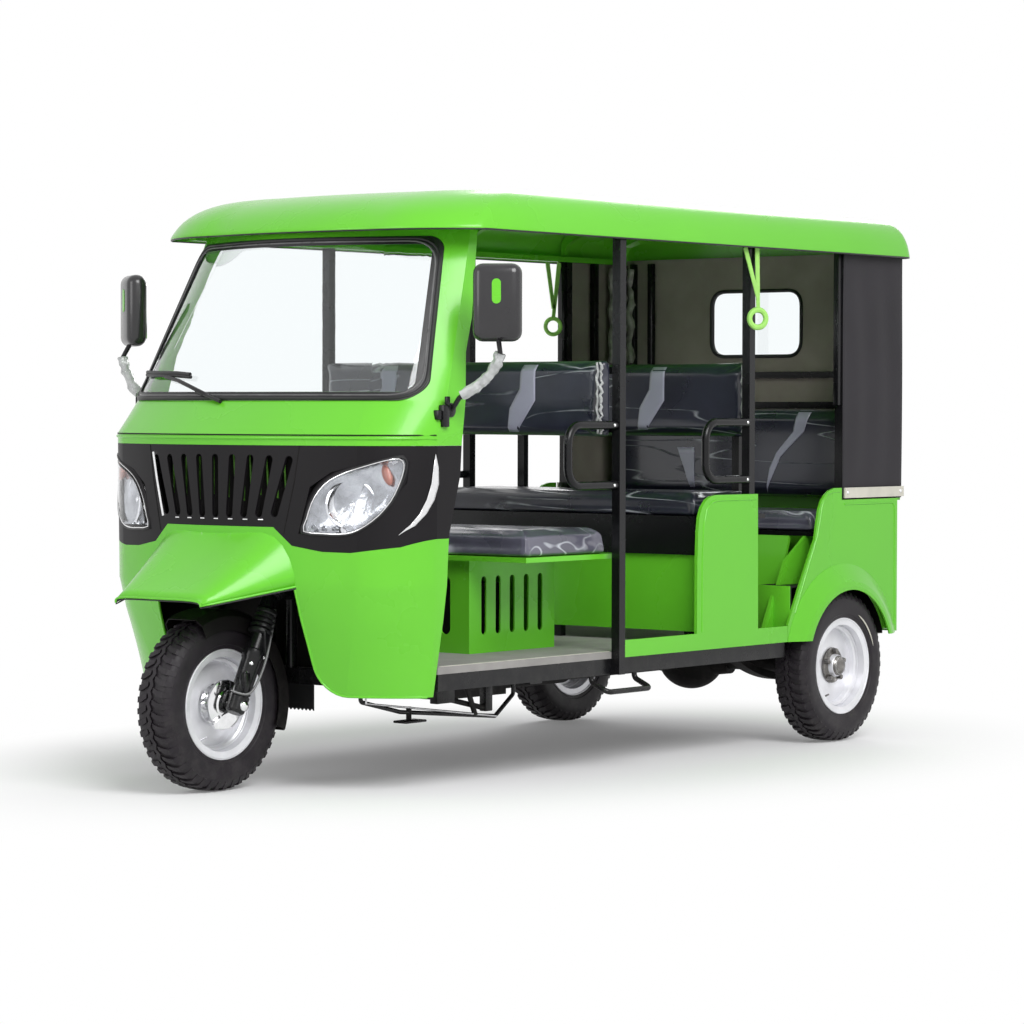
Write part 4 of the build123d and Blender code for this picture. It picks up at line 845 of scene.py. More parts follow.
def make_grips():
    """Ribbed grips on the handlebar, and a lever ahead of each."""
    grips, levers = bmesh.new(), []
    for side in (1, -1):
        inner, outer = at(925, side * 231.5, 1087.4), at(870, side * 350, 1062)
        along = (outer - inner).normalized()
        length = (outer - inner).length / MM
        ribs = [(length * i / 24, 17.4 if i % 2 else 18.4) for i in range(25)]
        end = length + 3
        spin_ring(grips, [(0, 12), (-3, 21), (3, 21)] + ribs + [(end, 14), (end, 0.5), (0, 0.5)], inner,
                  along, along.orthogonal().normalized(), steps=20)
        levers.append(path(((938, 214, 1083), (958, 246, 1070), (942, 292, 1056), (908, 344, 1046)), side))
    piece_from("handlebar_grips", grips, RUBBER, "steering")
    line_piece("handlebar_levers", levers, 4.5, STEEL, "steering", smooth=True)


make_grips()


# ---- headlamps ----
# The lamp's edge inside the hole in the mask: y and z
LAMP_EDGE = ((325, 805), (335, 844), (352, 893), (379, 936), (415, 969), (467, 994), (524, 1014), (572, 1031),
             (603, 1037), (612, 1020), (609, 986), (599, 944), (584, 901), (558, 859), (523, 825), (484, 804),
             (441, 798), (391, 799))
# The round reflector: how far ahead of its rim, and its radius there
BOWL_OUTLINE = ((0, 78), (5, 81), (8, 74), (-4, 64), (-18, 44), (-26, 20), (-28, 0.5), (-30, 0.5), (-28, 22),
                (-20, 50), (-6, 72))


def middle_of(points):
    """The mean of points of (y, z)."""
    return sum(p[0] for p in points) / len(points), sum(p[1] for p in points) / len(points)


def shrunk(points, amount):
    """An outline with each point moved towards its middle."""
    my, mz = middle_of(points)
    reach = max(hypot(y - my, z - mz) for y, z in points)
    return [(my + (y - my) * (1 - amount / reach), mz + (z - mz) * (1 - amount / reach)) for y, z in points]


def lamp_sheet(bm, points, side, out, rings=7):
    """A sheet over the skin inside an outline, in rings that close on its middle."""
    my, mz = middle_of(points)
    fine = smooth_loop(points, 2)
    loops = []
    for ring in range(rings):
        share = 1 - ring / rings
        loops.append([bm.verts.new(skin(side * (my + (y - my) * share), mz + (z - mz) * share, out(share)))
                      for y, z in fine])
    pair_up(bm, loops)
    middle = bmesh.ops.poke(bm, faces=[bm.faces.new(loops[-1])])["verts"][0]
    middle.co = skin(side * my, mz, out(0))


def make_headlamp(side, tag):
    """A faceted bowl with a round reflector, a bulb and small lamps, behind a clear lens in a rim."""
    bm = bmesh.new()
    lamp_sheet(bm, shrunk(LAMP_EDGE, 6), side, lambda share: -8 - 32 * (1 - share) ** 0.55)
    replaced = ("headlamps",) if side == 1 else ()
    fatten(piece_from("headlamp_bowl_" + tag, bm, REFLECTOR, replaced=replaced), 0.0015)
    bm = bmesh.new()
    lamp_sheet(bm, shrunk(LAMP_EDGE, 4), side, lambda share: 1.5, rings=5)
    fatten(piece_from("headlamp_lens_" + tag, bm, LENS), 0.002)
    bm = bmesh.new()
    edge = smooth_loop(LAMP_EDGE, 2)
    my, mz = middle_of(edge)
    loops = [[], [], []]
    for y, z in edge:
        away = hypot(y - my, z - mz)
        for loop, more, out in zip(loops, (16, 0, -6), (-1.5, 0.5, -9)):
            share = 1 + more / away
            wide = min(my + (y - my) * share, 648)
            loop.append(bm.verts.new(skin(side * wide, mz + (z - mz) * share, out)))
    pair_up(bm, loops)
    fatten(piece_from("headlamp_surround_" + tag, bm, MASK_BLACK), 0.0015)
    for name, amount, size, material, slot in (("headlamp_rim_", 0, 3.2, RUBBER, "rubber"),
                                               ("headlamp_bright_rim_", 8, 2.2, CHROME, "steel")):
        ring = smooth_loop(shrunk(LAMP_EDGE, amount), 2)
        line_piece(name + tag, [[skin(side * y, z, 1.0) for y, z in ring]], size, material, closed=True)
    front = at(1270, side * 462, 890)
    aim = Vector((0.86, side * 0.5, 0.05)).normalized()
    up = aim.orthogonal().normalized()
    bm = bmesh.new()
    spin_ring(bm, BOWL_OUTLINE, front, aim, up, steps=48)
    dome(bm, front - aim * 0.016, aim, 15, 15)
    piece_from("headlamp_reflector_" + tag, bm, CHROME)
    bm = bmesh.new()
    put(bm, "icosphere", skin(side * 575, 982, -16), (0.012, 0.016, 0.034),
        Matrix.Rotation(side * 0.45, 3, "X"), subdivisions=3, radius=1.0)
    piece_from("headlamp_indicator_" + tag, bm, AMBER)
    bm = bmesh.new()
    for y, z in ((362, 822), (396, 818), (430, 817)):
        spin_ring(bm, ((0, 7), (6, 9), (8, 6.5), (2, 0.5), (0, 0.5)), skin(side * y, z, -9), aim, up,
                  steps=24)
    piece_from("headlamp_small_lamps_" + tag, bm, REFLECTOR)


for side, tag in SIDES:
    make_headlamp(side, tag)


# ---- mask, scuttle and windshield ----
def mirrored(points):
    """A line of (y, z), and its mirror image."""
    return [tuple(points), tuple((-y, z) for y, z in points)]


line_piece("belt_bead", [along_skin(((-649, 1094), (649, 1094)), 22, 0.5)], 5.0, GREEN)
line_piece("belt_groove", [along_skin(((-649, 1103), (649, 1103)), 22, 0.2)], 2.2, UNDERSIDE)
seam = ((318, 1070), (300, 960), (262, 800))
line_piece("mask_seams", [along_skin(half, 15) for half in mirrored(seam)], 1.6, UNDERSIDE)
strip = ((-296, 1046), (-276, 960), (-244, 846))
line_piece("grille_strip", [along_skin(strip, 12, 1.5)], 4.5, CHROME)
tips = [along_skin(((58.88 * i - 4, 843), (58.88 * i + 14, 843)), 6, 1.0) for i in range(-3, 4)]
line_piece("grille_tips", tips, 2.4, CHROME)


def make_grille_back():
    """A dark screen behind the grille as painted shade in its slots, with green bars, darkened as painted
    shade, that show through them.
    """
    bm = bmesh.new()
    rows = [[bm.verts.new(skin(y, z, -34)) for y in range(-330, 331, 30)] for z in range(826, 1067, 30)]
    bridge(bm, rows)
    fatten(piece_from("grille_shade_screen", bm, UNDERSIDE), 0.002)
    bars = []
    for i in range(-8, 9):
        foot = (32 * i + 4, 900 + 9 * (i % 3))
        top = (32 * i + (6 if i % 2 else -5), 1046 - 12 * (i % 2))
        bars.append(along_skin((foot, top), 24, -22))
    line_piece("grille_shaded_bars", bars, 3.2, SHADED_GREEN)


make_grille_back()


def make_crescents():
    """A bright tapered strip behind each headlamp."""
    bm = bmesh.new()
    front = ((1100, 648, 1046), (1109, 645, 1006), (1117, 643, 955), (1133, 637, 907), (1156, 628, 864),
             (1182, 615, 832), (1211, 595, 801))
    back = ((1099, 648, 1046), (1082, 651, 1003), (1078, 651, 955), (1095, 648, 906), (1124, 640, 864),
            (1162, 625, 828), (1210, 595.5, 801))
    for side in (1, -1):
        rows = []
        for (ax, ay, az), (bx, by, bz) in zip(front, back):
            row = []
            for t in (0.1, 0.3, 0.55, 0.8):
                y = ay + (by - ay) * t + 1.6 + 3 * t * (1 - t)
                row.append(bm.verts.new(at(ax + (bx - ax) * t + 1, side * y, az + (bz - az) * t)))
            rows.append(row)
        bridge(bm, rows)
    fatten(piece_from("mask_crescents", bm, CHROME, outward=False), 0.002)


make_crescents()


def make_wipers():
    """A wiper's arm and blade on the windshield."""
    arm = [at(1271, -63, 1197), skin(-150, 1232, 16), skin(-300, 1272, 14), skin(-391, 1286, 12)]
    line_piece("wiper_arm", [arm, [skin(-60, 1206, 12), skin(-190, 1238, 12)]], 6.5, ENAMEL)
    blade = ((-246, 1283), (-330, 1288), (-391, 1289), (-470, 1290), (-545, 1292))
    lines = [[skin(y, z, 9) for y, z in blade], [skin(y * 0.97 - 10, z + 9, 13) for y, z in blade]]
    line_piece("wiper_blade", lines, 6.0, RUBBER)
    bm = bmesh.new()
    put(bm, "cone", at(1272, -63, 1196), turn=Matrix.Rotation(0.7, 3, "Y"), cap_ends=True, segments=20,
        radius1=0.016, radius2=0.012, depth=0.03)
    piece_from("wiper_pivot", bm, ENAMEL)


make_wipers()


def along_loop(points, step, out):
    """A closed line over the skin."""
    return along_skin(tuple(points) + tuple(points[:1]), step, out)[:-1]


# The windshield's corners, y and z, and its middle
SCREEN = ((-618, 1209), (618, 1209), (514, 1722), (-514, 1722))
SCREEN_HALF_Y, SCREEN_HALF_Z, SCREEN_Z = 560, 256, 1465.5
# The gasket's rounded lip, and a grey cord pressed into it as a painted highlight along the gasket
for name, inset, size, material in (("gasket_lip", 7, 5.5, RUBBER), ("gasket_highlight_cord", 16, 3.0, GREY_RUBBER_AND_HIGHLIGHT)):
    shape = [(y * (1 - inset / SCREEN_HALF_Y), SCREEN_Z + (z - SCREEN_Z) * (1 - inset / SCREEN_HALF_Z))
             for y, z in SCREEN]
    line_piece(name, [along_loop(round_corners(shape, 78), 18, 3.5)], size, material, closed=True)


# ---- roof ----
ROOF_LIP_Z = 1740
# height over the lip, nose x, shoulder x, y, corner x, y, side x, y, rear x
ROOF_ROWS = (
    (0, 1080, 1048, 330, 995, 550, 890, 672, -1615),
    (12, 1078, 1046, 330, 993, 549, 888, 671, -1615),
    (58, 1035, 1005, 328, 950, 547, 840, 660, -1611),
    (100, 960, 930, 320, 875, 530, 765, 636, -1600),
    (128, 845, 815, 310, 765, 500, 665, 590, -1575),
    (142, 670, 650, 260, 610, 420, 530, 500, -1480),
    (145.5, 430, 410, 200, 380, 320, 330, 400, -1330),
)


def roof_outline(row):
    """A closed line round the roof at one height, with the same number of points on each."""
    _, nose, sx, sy, cx, cy, ex, ey, rear = row
    side = arc_points((sx, sy), (cx, cy), (ex, ey), 12)[1:]
    side += [(ex + (rear + 60 - ex) * i / 8, ey) for i in range(1, 9)]
    side += arc_points((rear + 60, ey), (rear + 17.6, ey - 17.6), (rear, ey - 60), 5)[1:]
    side += [(rear, (ey - 60) * (1 - i / 4)) for i in range(1, 4)]
    half = arc_points((sx, -sy), (nose, 0), (sx, sy), 12)[6:] + side
    return half + [(rear, 0.0)] + [(x, -y) for x, y in reversed(half[1:])]


def make_roof():
    """The roof's moulding, and the black edge strip along its lip."""
    bm = bmesh.new()
    loops = [[bm.verts.new(at(x, y, ROOF_LIP_Z + row[0])) for x, y in roof_outline(row)]
             for row in smooth_rows(ROOF_ROWS, 3)]
    bridge(bm, loops, closed=True)
    bm.faces.new(loops[-1])
    fatten(piece_from("roof_moulding", bm, GREEN, replaced=("roof_shell",), sharp=50), 0.006)
    edge = [at(x * 0.9985, y * 0.9985, ROOF_LIP_Z - 0.5) for x, y in roof_outline(ROOF_ROWS[0])]
    line_piece("roof_drip_edge", [edge], 3.0, RUBBER, closed=True)


make_roof()


# ---- hood over the front wheel ----
HOOD_X, HOOD_LENGTH = 1325, 315
# y and z from the hood's edge to its middle, at its rear and at its front
HOOD_REAR = ((312, 646), (308, 690), (292, 742), (268, 788), (238, 822), (198, 842), (140, 849), (70, 851),
             (0, 851))
HOOD_FRONT = ((180, 590), (180, 594), (178, 598), (172, 602), (160, 604), (140, 606), (100, 607), (50, 607),
              (0, 607))


def hood_section(share):
    """Half of a section across the hood, from its edge to the middle; it dips a little on its way forward."""
    dip = 14 * sin(pi * share)
    return [(ay + (by - ay) * share, az + (bz - az) * share - dip * i / 8)
            for i, ((ay, az), (by, bz)) in enumerate(zip(HOOD_REAR, HOOD_FRONT))]


def make_hood():
    """The hood over the front wheel, with a bead along its edge and a black line under it as painted shade
    below the lip.
    """
    bm = bmesh.new()
    rows = []
    for step in range(11):
        x = HOOD_X + HOOD_LENGTH * step / 10
        half = hood_section(step / 10)
        rows.append([bm.verts.new(at(x, y, z)) for y, z in half]
                    + [bm.verts.new(at(x, -y, z)) for y, z in half[-2::-1]])
    bridge(bm, rows)
    edge = [vert.co - Vector((0, 0, 0.002)) for vert in [row[0] for row in rows] + rows[-1][1:-1]
            + [row[-1] for row in reversed(rows)]]
    fatten(piece_from("nose_hood", bm, GREEN, replaced=("nose_fender",), sharp=60), 0.005)
    line_piece("nose_hood_bead", [edge], 3.5, GREEN)
    # A black line just under the edge, painted shade beneath the hood's lip
    line_piece("nose_hood_shade_line", [[p - Vector((0.003, 0, 0.006)) for p in edge]], 2.5, RUBBER)


make_hood()


# ---- leg shields ----
def cut_copy(name, source, material, cutters):
    """A copy of a CAD node with forms cut from it."""
    piece = piece_from(name, copy_of(source), material, replaced=(source,))
    for cutter in cutters:
        cut = piece.modifiers.new("cut", "BOOLEAN")
        cut.operation = "DIFFERENCE"
        cut.solver = "EXACT"
        cut.object = cutter
    bpy.context.view_layer.update()
    made = take_shape(piece)
    made.shade_smooth()
    made.set_sharp_from_angle(angle=radians(35))
    for cutter in cutters:
        mesh = cutter.data
        bpy.data.objects.remove(cutter)
        bpy.data.meshes.remove(mesh)


# The rounded corner, y and z
SHIELD_BEND = [(403 - 95 * cos(t * pi / 16), 395 - 95 * sin(t * pi / 16)) for t in range(9)]


def make_leg_shields():
    """Round off the lower front corner of each leg shield."""
    cutters = []
    for side in (1, -1):
        bm = bmesh.new()
        corner = [(280, 280), (280, 396), (307.5, 396)] + SHIELD_BEND + [(403, 280)]
        slab(bm, [at(1000, side * y, z) for y, z in corner], Vector((0.45, 0, 0)))
        bmesh.ops.recalc_face_normals(bm, faces=bm.faces)
        cutters.append(new_object("corner", new_mesh("corner", bm)))
    cut_copy("leg_shields", "front_apron", GREEN, cutters)
    edge = [(297.5, 634)] + SHIELD_BEND + [(500, 300.5), (606, 300.5)]
    beads = [along_skin(half, 14, -1.0) for half in mirrored(edge)]
    line_piece("leg_shield_beads", beads, 4.0, GREEN)


make_leg_shields()


# ---- mirrors ----
MIRROR_TURN = radians(33)    # how far each housing is turned outwards


def make_mirror_parts():
    """Inserts in the mirrors' backs, glass in their faces and a crumpled wrap on their arms."""
    inserts, faces, housings = bmesh.new(), bmesh.new(), bmesh.new()
    for side in (1, -1):
        turn = side * MIRROR_TURN
        out = Vector((cos(turn), sin(turn), 0))
        wide = Vector((-sin(turn), cos(turn), 0))
        middle = at(962, side * 780, 1508)
        block = put(housings, "cube", middle, (0.066, 0.15, 0.238), Matrix.Rotation(turn, 3, "Z"), size=1.0)
        round_edges(housings, block, 0.03, 5)
        oval = []
        for i in range(24):
            angle = i * 2 * pi / 24
            rise = (58 if sin(angle) > 0 else 10) + 14 * sin(angle)
            oval.append(middle + out * 0.0315 + wide * (0.014 * cos(angle)) + UP * (rise * MM))
        slab(inserts, oval, out * 0.003)
        glass = []
        for i in range(32):
            angle = (i + 0.5) * 2 * pi / 32
            sx, sz = (1 if cos(angle) > 0 else -1), (1 if sin(angle) > 0 else -1)
            glass.append(middle - out * 0.0325 + wide * ((42 * sx + 12 * cos(angle)) * MM)
                         + UP * ((84 * sz + 12 * sin(angle)) * MM))
        slab(faces, glass, out * -0.002)
    piece_from("mirror_housings", housings, MIRROR_BLACK, replaced=("mirrors",), sharp=60)
    arm = ((1028, 654, 1180), (1028, 684, 1217), (992, 768, 1281), (986, 812, 1345), (968, 788, 1400))
    line_piece("mirror_arms", [path(arm, side) for side in (1, -1)], 8.0, ENAMEL)
    feet = bmesh.new()
    for side in (1, -1):
        spin_ring(feet, ((0, 22), (4, 22), (8, 16), (8, 0.5), (0, 0.5)), at(1028, side * 649, 1180),
                  Vector((0, side, 0)), UP, steps=24)
    boxes(feet, (((1046, 640, 1128), (1074, 662, 1196)), ((1050, 656, 1196), (1066, 668, 1222)),
                 ((1072, 634, 1150), (1092, 656, 1180))), 3.0)
    piece_from("mirror_feet", feet, ENAMEL)
    piece_from("mirror_inserts", inserts, GREEN)
    piece_from("mirror_glass", faces, CHROME)
    bend = ((1022, 690, 1226), (1004, 738, 1252), (991, 768, 1281), (986, 800, 1325), (984, 808, 1352))
    for side, tag in SIDES:
        wrap = line_piece("mirror_arm_wrap_" + tag, [path(bend, side)], 17.0, FILM, smooth=True)
        crumple(wrap, 0.006, 55.0, 3)


make_mirror_parts()


# ---- hand straps ----
def make_hand_strap(name, x, y, ring_x, ring_y, ring_z, thick):
    """Webbing that hangs from the rail in a V, and the ring that it holds."""
    bm = bmesh.new()
    ring = at(ring_x, ring_y, ring_z)
    for foot in (x + 36, x - 36):
        top = at(foot, y, 1739)
        low = ring + UP * (0.068 if foot > x else 0.034)
        along = (low - top).normalized()
        half = Vector((0.012, 0, 0)) - along * along.x * 0.012
        slab(bm, [top + half, top - half, low - half * 0.8, low + half * 0.8], Vector((0, 0.003, 0)))
    across = Vector((0.55, 0.835, 0)).normalized()
    spin_ring(bm, round_line(0, 30, thick), ring, across, UP, steps=32)
    piece_from(name, bm, LIME)


make_hand_strap("hand_strap_left", -595, 642, -612, 660, 1496, 10)
make_hand_strap("hand_strap_right", -1112, -621, -1113, -621, 1497, 8)


# ---- floor and sides ----
PANEL_Y = 649.5              # the outer face of a side
# The beads pressed into it, x and z
PANEL_LINES = (
    ((-303, 432), (-305, 680), (-312, 790), (-330, 846), (-356, 868), (-392, 876), (-628, 875)),
    ((-866, 470), (-914, 566), (-992, 712), (-1006, 738), (-1032, 832), (-1046, 862), (-1068, 882),
     (-1100, 891), (-1150, 892)),
    ((-1180, 846), (-1500, 846), (-1513, 832), (-1515, 600), (-1518, 400)),
)


def make_trim():
    """Edging strips, bolts and pressed beads on the body."""
    bm = bmesh.new()
    boxes(bm, (((170, 606, 390.2), (1040, 617, 393)), ((-600, 606, 390.2), (128, 617, 393))), 1.0)
    piece_from("floor_edging", bm, ALLOY)
    bm = bmesh.new()
    for side in (1, -1):
        for post_x, z in ((163, 1034), (-598, 1042)):
            for up in (98, -98):
                dome(bm, at(post_x + 22, side * 646, z + up), (0, side, 0), 6, 4)
        for x in (-1196, -1548):
            dome(bm, at(x, side * 653, 888), (0, side, 0), 7, 5)
    piece_from("bright_bolts", bm, CHROME)
    lines = [[at(x, side * PANEL_Y, z) for x, z in line] for side in (1, -1) for line in PANEL_LINES]
    line_piece("panel_beads", lines, 3.5, GREEN)


make_trim()


def make_mud_flap():
    """A rubber flap behind the front wheel with a toothed lower edge."""
    bm = bmesh.new()
    x, half_width, teeth = 1072, 130, 16
    low = [at(x, half_width * (i / teeth - 1), 238 if i % 2 else 230.5) for i in range(2 * teeth + 1)]
    slab(bm, [at(x, half_width, 315), at(x, -half_width, 315)] + low, Vector((0.004, 0, 0)))
    piece_from("mud_flap_toothed", bm, RUBBER, replaced=("mud_flap",), sharp=20)


make_mud_flap()


# ---- curtains ----
CURTAIN_X, CURTAIN_Y, CURTAIN_Z = -1572, 641.5, 864    # the foot's rear end
WALL_X = -1573               # the rear wall's outer face


def make_curtain(side, tag, replaced):
    """A curtain that hangs from the rail and is clamped by the batten at its foot."""
    bm = bmesh.new()
    for vert in bmesh.ops.create_grid(bm, x_segments=28, y_segments=56, size=0.5)["verts"]:
        across, up = vert.co.x + 0.5, vert.co.y + 0.5
        wave = 2.2 * sin(across * 17 + 1.2 * sin(up * 4)) * (4 * up * (1 - up)) ** 0.7
        vert.co = at(CURTAIN_X + 392 * across, side * (CURTAIN_Y + wave), CURTAIN_Z + 896 * up)
    if side == 1:
        bmesh.ops.reverse_faces(bm, faces=bm.faces)
    curtain = piece_from("curtain_" + tag, bm, CURTAIN, replaced=replaced, sharp=60, outward=False)
    curtain.data.materials.append(WALL)
    wall = curtain.modifiers.new("cloth", "SOLIDIFY")
    wall.thickness = 0.0015
    wall.material_offset = 1


make_curtain(1, "left", ("side_curtains",))
make_curtain(-1, "right", ())


def make_rear_trim():
    """A rubber border round the rear window, bars inside the curtains and a bunch of gathered film."""
    rings = [oblong(x, 205, 1385, 1631, 62, 8) for x in (WALL_X + 10, WALL_X)]
    line_piece("rear_window_border", rings, 7.0, RUBBER, closed=True)
    bm = bmesh.new()
    boxes(bm, [((x - 14, 612, 1200), (x + 14, 634, 1742)) for x in (-1172, -1375)]
          + [((-1562, y - 12, 1200), (-1542, y + 12, 1745)) for y in (566, 482)], 2.0)
    piece_from("curtain_bars", bm, ENAMEL)
    for side, tag in SIDES:
        lines = [[at(x + 5 * sin(i * 0.9 + x), side * (y + 6 * sin(i * 1.3 + y)), 1366 + 22.5 * i)
                  for i in range(17)] for x, y in ((-1470, 606), (-1500, 600), (-1536, 606), (-1545, 575))]
        crumple(line_piece("gathered_film_" + tag, lines, 15.0, CLOUDY_FILM), 0.010, 38.0, 7)


make_rear_trim()


def make_rear_wall():
    """The rear wall's board, dark outside and lined with brown-grey cloth inside, and a welt round it."""
    bm = copy_of("rear_wall")
    bmesh.ops.recalc_face_normals(bm, faces=bm.faces)
    for face in bm.faces:
        face.material_index = 1 if face.normal.x > 0.5 else 0
    board = piece_from("rear_wall_board", bm, CURTAIN, replaced=("rear_wall",), sharp=30)
    board.data.materials.append(WALL)
    low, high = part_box("rear_wall")
    welt = oblong(WALL_X, high[1] / MM - 6, low[2] / MM + 6, high[2] / MM - 8, 20, 4)
    line_piece("rear_wall_welt", [welt], 3.5, CURTAIN, closed=True)


make_rear_wall()


def make_tail_lamps():
    """Tail lamps: a black base, a red lens over an amber one, and ribs across each."""
    bm = bmesh.new()
    boxes(bm, (((-1548, 530, 660), (-1532.5, 625, 800)),), 6.0)
    piece_from("tail_lamp_bases", bm, ENAMEL, replaced=("tail_lamps",))
    for name, material, low, high, ribs in (("tail_lamp_lenses", RED_LENS, 714, 794, range(724, 790, 11)),
                                            ("tail_lamp_indicators", AMBER_LENS, 666, 710, (675, 686, 697))):
        bm = bmesh.new()
        boxes(bm, (((-1560, 536, low), (-1544, 619, high)),), 7.0, 3)
        boxes(bm, [((-1561.5, 541, z), (-1558, 614, z + 4)) for z in ribs], 1.2)
        piece_from(name, bm, material)
    beads = [oblong(-1533, *size, 4) for size in ((470, 470, 790, 30), (430, 510, 640, 24))]
    line_piece("tail_panel_beads", beads, 3.5, GREEN, closed=True)


make_tail_lamps()


# ---- sheet parts behind the windshield and at the wheel houses, and the linkage under the floor ----
def make_pillar_linings():
    """The inner sides of the windshield posts, painted like the cab."""
    bm = bmesh.new()
    for side in (1, -1):
        rows = []
        for z in range(1215, 1716, 25):
            front = skin(side * (622 - (z - 1209) * 104 / 513), z, -6)
            rows.append([bm.verts.new(front), bm.verts.new(front + Vector((-0.07, 0, 0)))])
        thicken(bm, bridge(bm, rows), Vector((0, side * 0.004, 0)))
    piece_from("pillar_linings", bm, GREEN)


def make_well_fronts():
    """Painted fronts on the rear wheel houses, each with its gusset's foot standing on the floor."""
    bm = bmesh.new()
    boxes(bm, (((-850, 504, 391), (-846, 640, 566)),), 1.0)
    for side in (1, -1):
        slab(bm, [at(x, side * 558, z) for x, z in ((-847, 533), (-847, 391), (-777, 391))],
             Vector((0, side * 0.012, 0)))
    piece_from("wheel_house_fronts", bm, GREEN)


def make_pedal_linkage():
    """Brackets, a cylinder, a lever and a foot pad among the control rods."""
    bm = bmesh.new()
    for low, high in (((600, 284, 236), (690, 316, 318)), ((404, 286, 196), (440, 314, 318)),
                      ((760, 276, 186), (862, 332, 194))):
        box(bm, low, high, bevel=3)
    piece_from("pedal_brackets", bm, ENAMEL)
    bars = (((640, 300, 252), (440, 300, 208)), ((560, 318, 318), (500, 318, 190)),
            ((812, 300, 194), (812, 300, 236)))
    line_piece("pedal_levers", [path(bar) for bar in bars], 9, CAST)
    rod = path(((1040, 318, 292), (1040, 318, 262), (390, 318, 178)))
    line_piece("pedal_pull_rod", [rod], 4, STEEL)


make_pillar_linings()
make_well_fronts()
make_pedal_linkage()


# ---- cushions ----
# name, replaced node, the axis along which it swells from its low end, how far it may swell, fill
CUSHIONS = (
    ("driver_seat_pad", "driver_cushion", 2, 0.012, 0.8),
    ("driver_back_pad", "driver_backrest", 0, 0.010, 0.8),
    ("middle_seat_pad", "middle_cushion", 2, 0.012, 0.8),
    ("middle_back_pad", "middle_backrest", 0, 0.010, 0.8),
    ("rear_seat_pad", "rear_cushion", 2, 0.012, 0.8),
    ("rear_back_pad", "rear_backrest", 0, 0.010, 0.8),
)
SWELL_FRAMES, PRESSURE = 20, 4.0
VOXEL, HELD_DEPTH = 0.011, 0.012    # the mesh's step, and how much of a pad's foot is held still


def start_pad(name, node_name, axis, swell):
    """A rounded block inside the solid's space, meshed finely enough to swell."""
    low, high = (Vector(v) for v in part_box(node_name))
    for i in range(3):
        if i != axis:
            low[i] += swell * 0.7
        high[i] -= swell if i == axis else swell * 0.7
    bm = bmesh.new()
    round_edges(bm, put(bm, "cube", (low + high) / 2, high - low, size=1.0), 0.016, 4)
    pad = piece_from(name, bm, PAD_FINISH.get(name, VINYL), replaced=(node_name,), sharp=180)
    remesh = pad.modifiers.new("grid", "REMESH")
    remesh.mode = "VOXEL"
    remesh.voxel_size = VOXEL
    fine = take_shape(pad)
    held = pad.vertex_groups.new(name="rest")
    held.add([v.index for v in fine.vertices if abs(v.co[axis] - low[axis]) < HELD_DEPTH], 1.0, "REPLACE")
    return pad


def swell_pads(pads):
    """Blow the pads up as cloth under a light pressure, all in one run."""
    for pad, *_ in pads:
        cloth = pad.modifiers.new("swell", "CLOTH")
        cloth.settings.use_pressure = True
        cloth.settings.uniform_pressure_force = PRESSURE
        cloth.settings.effector_weights.gravity = 0.0
        cloth.settings.vertex_group_mass = "rest"
        cloth.settings.quality = 4
        cloth.point_cache.frame_start = 1
        cloth.point_cache.frame_end = SWELL_FRAMES
    scene = bpy.context.scene
    for number in range(1, SWELL_FRAMES + 1):
        scene.frame_set(number)
    graph = bpy.context.evaluated_depsgraph_get()
    shapes = [[v.co.copy() for v in pad.evaluated_get(graph).data.vertices] for pad, *_ in pads]
    for (pad, cap, *_), shape in zip(pads, shapes):
        pad.modifiers.clear()
        for vert, target in zip(pad.data.vertices, shape):
            move = target - vert.co
            if move.length > cap:
                move = move.normalized() * cap
            vert.co += move
    scene.frame_set(1)


pads = [(start_pad(*cushion[:4]), *cushion[3:]) for cushion in CUSHIONS]
swell_pads(pads)
for pad, swell, fill in pads:
    for polygon in pad.data.polygons:
        polygon.use_smooth = True
    round_off = pad.modifiers.new("smooth", "SUBSURF")
    round_off.levels = round_off.render_levels = 1


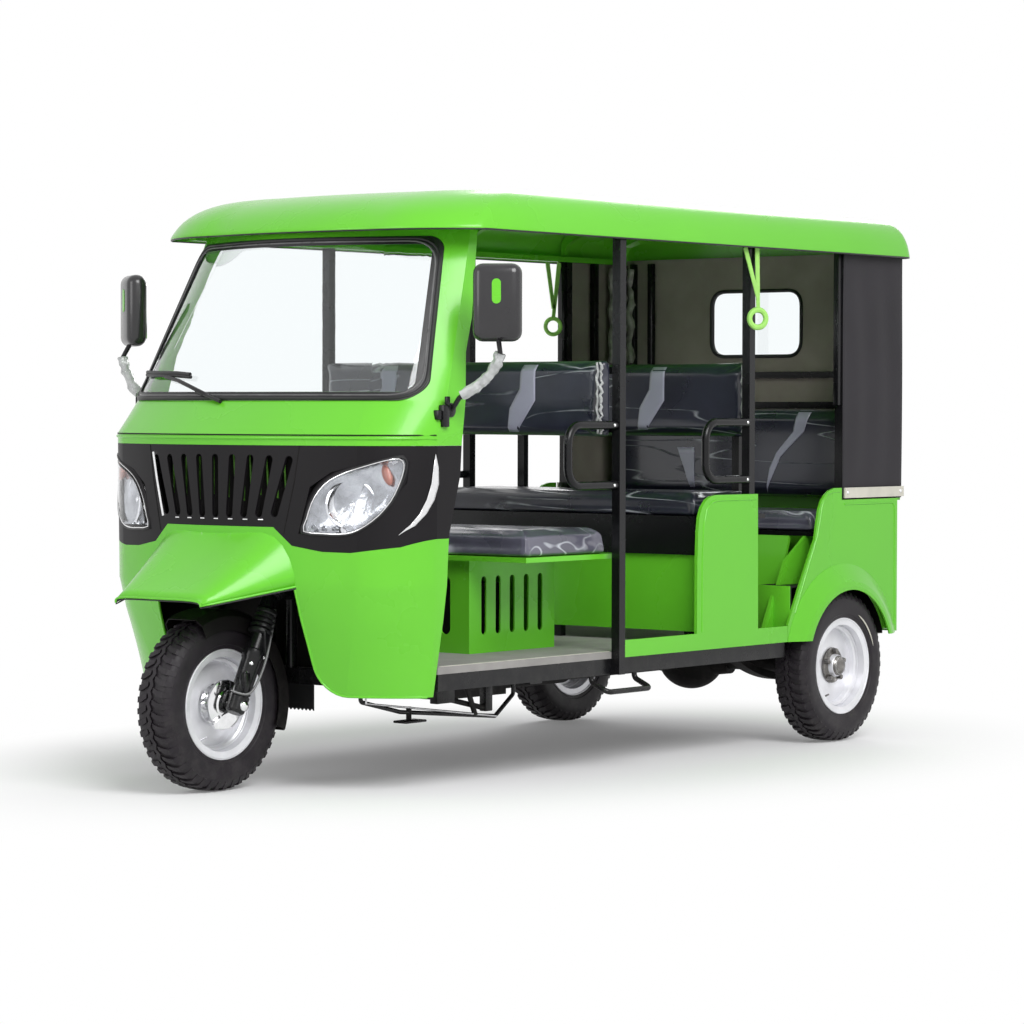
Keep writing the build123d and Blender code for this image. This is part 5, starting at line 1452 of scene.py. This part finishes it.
# ---- pale inlays in the backrests ----
INLAY = ((0, 0), (60, 0), (60, -118), (-18, -222), (-58, -222), (-48, -144), (-6, -80))
LOW_INLAY = ((0, 0), (79, 0), (79, -150), (58, -150), (40, -76))
SLANT_INLAY = ((289, 1182), (348, 1182), (323, 1103), (219, 1009), (151, 874), (170, 968), (200, 1025),
               (274, 1102))
# number of the pad that a strip lies on, its outline, and the y and z that its points count from
INLAYS = ((1, INLAY, 273, 1330), (1, INLAY, -333, 1330), (3, INLAY, 156, 1333), (3, INLAY, -460, 1333),
          (5, LOW_INLAY, -252, 1041), (5, SLANT_INLAY, 0, 0))


def make_inlays():
    """Bent strips of pale vinyl, sewn on the fronts of the backrests."""
    bm = bmesh.new()
    graph = bpy.context.evaluated_depsgraph_get()
    for number, outline, top_y, top_z in INLAYS:
        pad = pads[number][0]
        solid = pad.evaluated_get(graph)
        points = [(top_y + y, top_z + z) for y, z in outline]
        face = bm.faces.new([bm.verts.new((0, y * MM, z * MM)) for y, z in points])
        made = bmesh.ops.triangulate(bm, faces=[face])
        edges = list({e for f in made["faces"] for e in f.edges})
        bmesh.ops.subdivide_edges(bm, edges=edges, cuts=5, use_grid_fill=True)
        for vert in bm.verts:
            if vert.co.x != 0:
                continue
            hit, place, *_ = solid.ray_cast(Vector((3, vert.co.y, vert.co.z)), Vector((-1, 0, 0)))
            vert.co.x = (place.x if hit else pad.bound_box[6][0]) + 0.0012
    fatten(piece_from("backrest_inlays", bm, LAVENDER, outward=False), 0.001)


make_inlays()


def make_film_edges():
    """The torn edge of the clear film, gathered down the left end of two backrests."""
    for name, x, y, low, high in (("film_edge_driver", 207, 606, 1104, 1336),
                                  ("film_edge_middle", -679, 566, 1104, 1338)):
        tall = high - low
        lines = [[at(x + 3 * sin(i * 1.7), y + 5 * sin(i * 2.3), low + tall * i / 24) for i in range(25)],
                 [at(x + 1, y - 14 + 3 * sin(i * 1.9), low + tall * i / 16) for i in range(17)]]
        crumple(line_piece(name, lines, 4.5, FILM), 0.004, 90.0, 5)


make_film_edges()
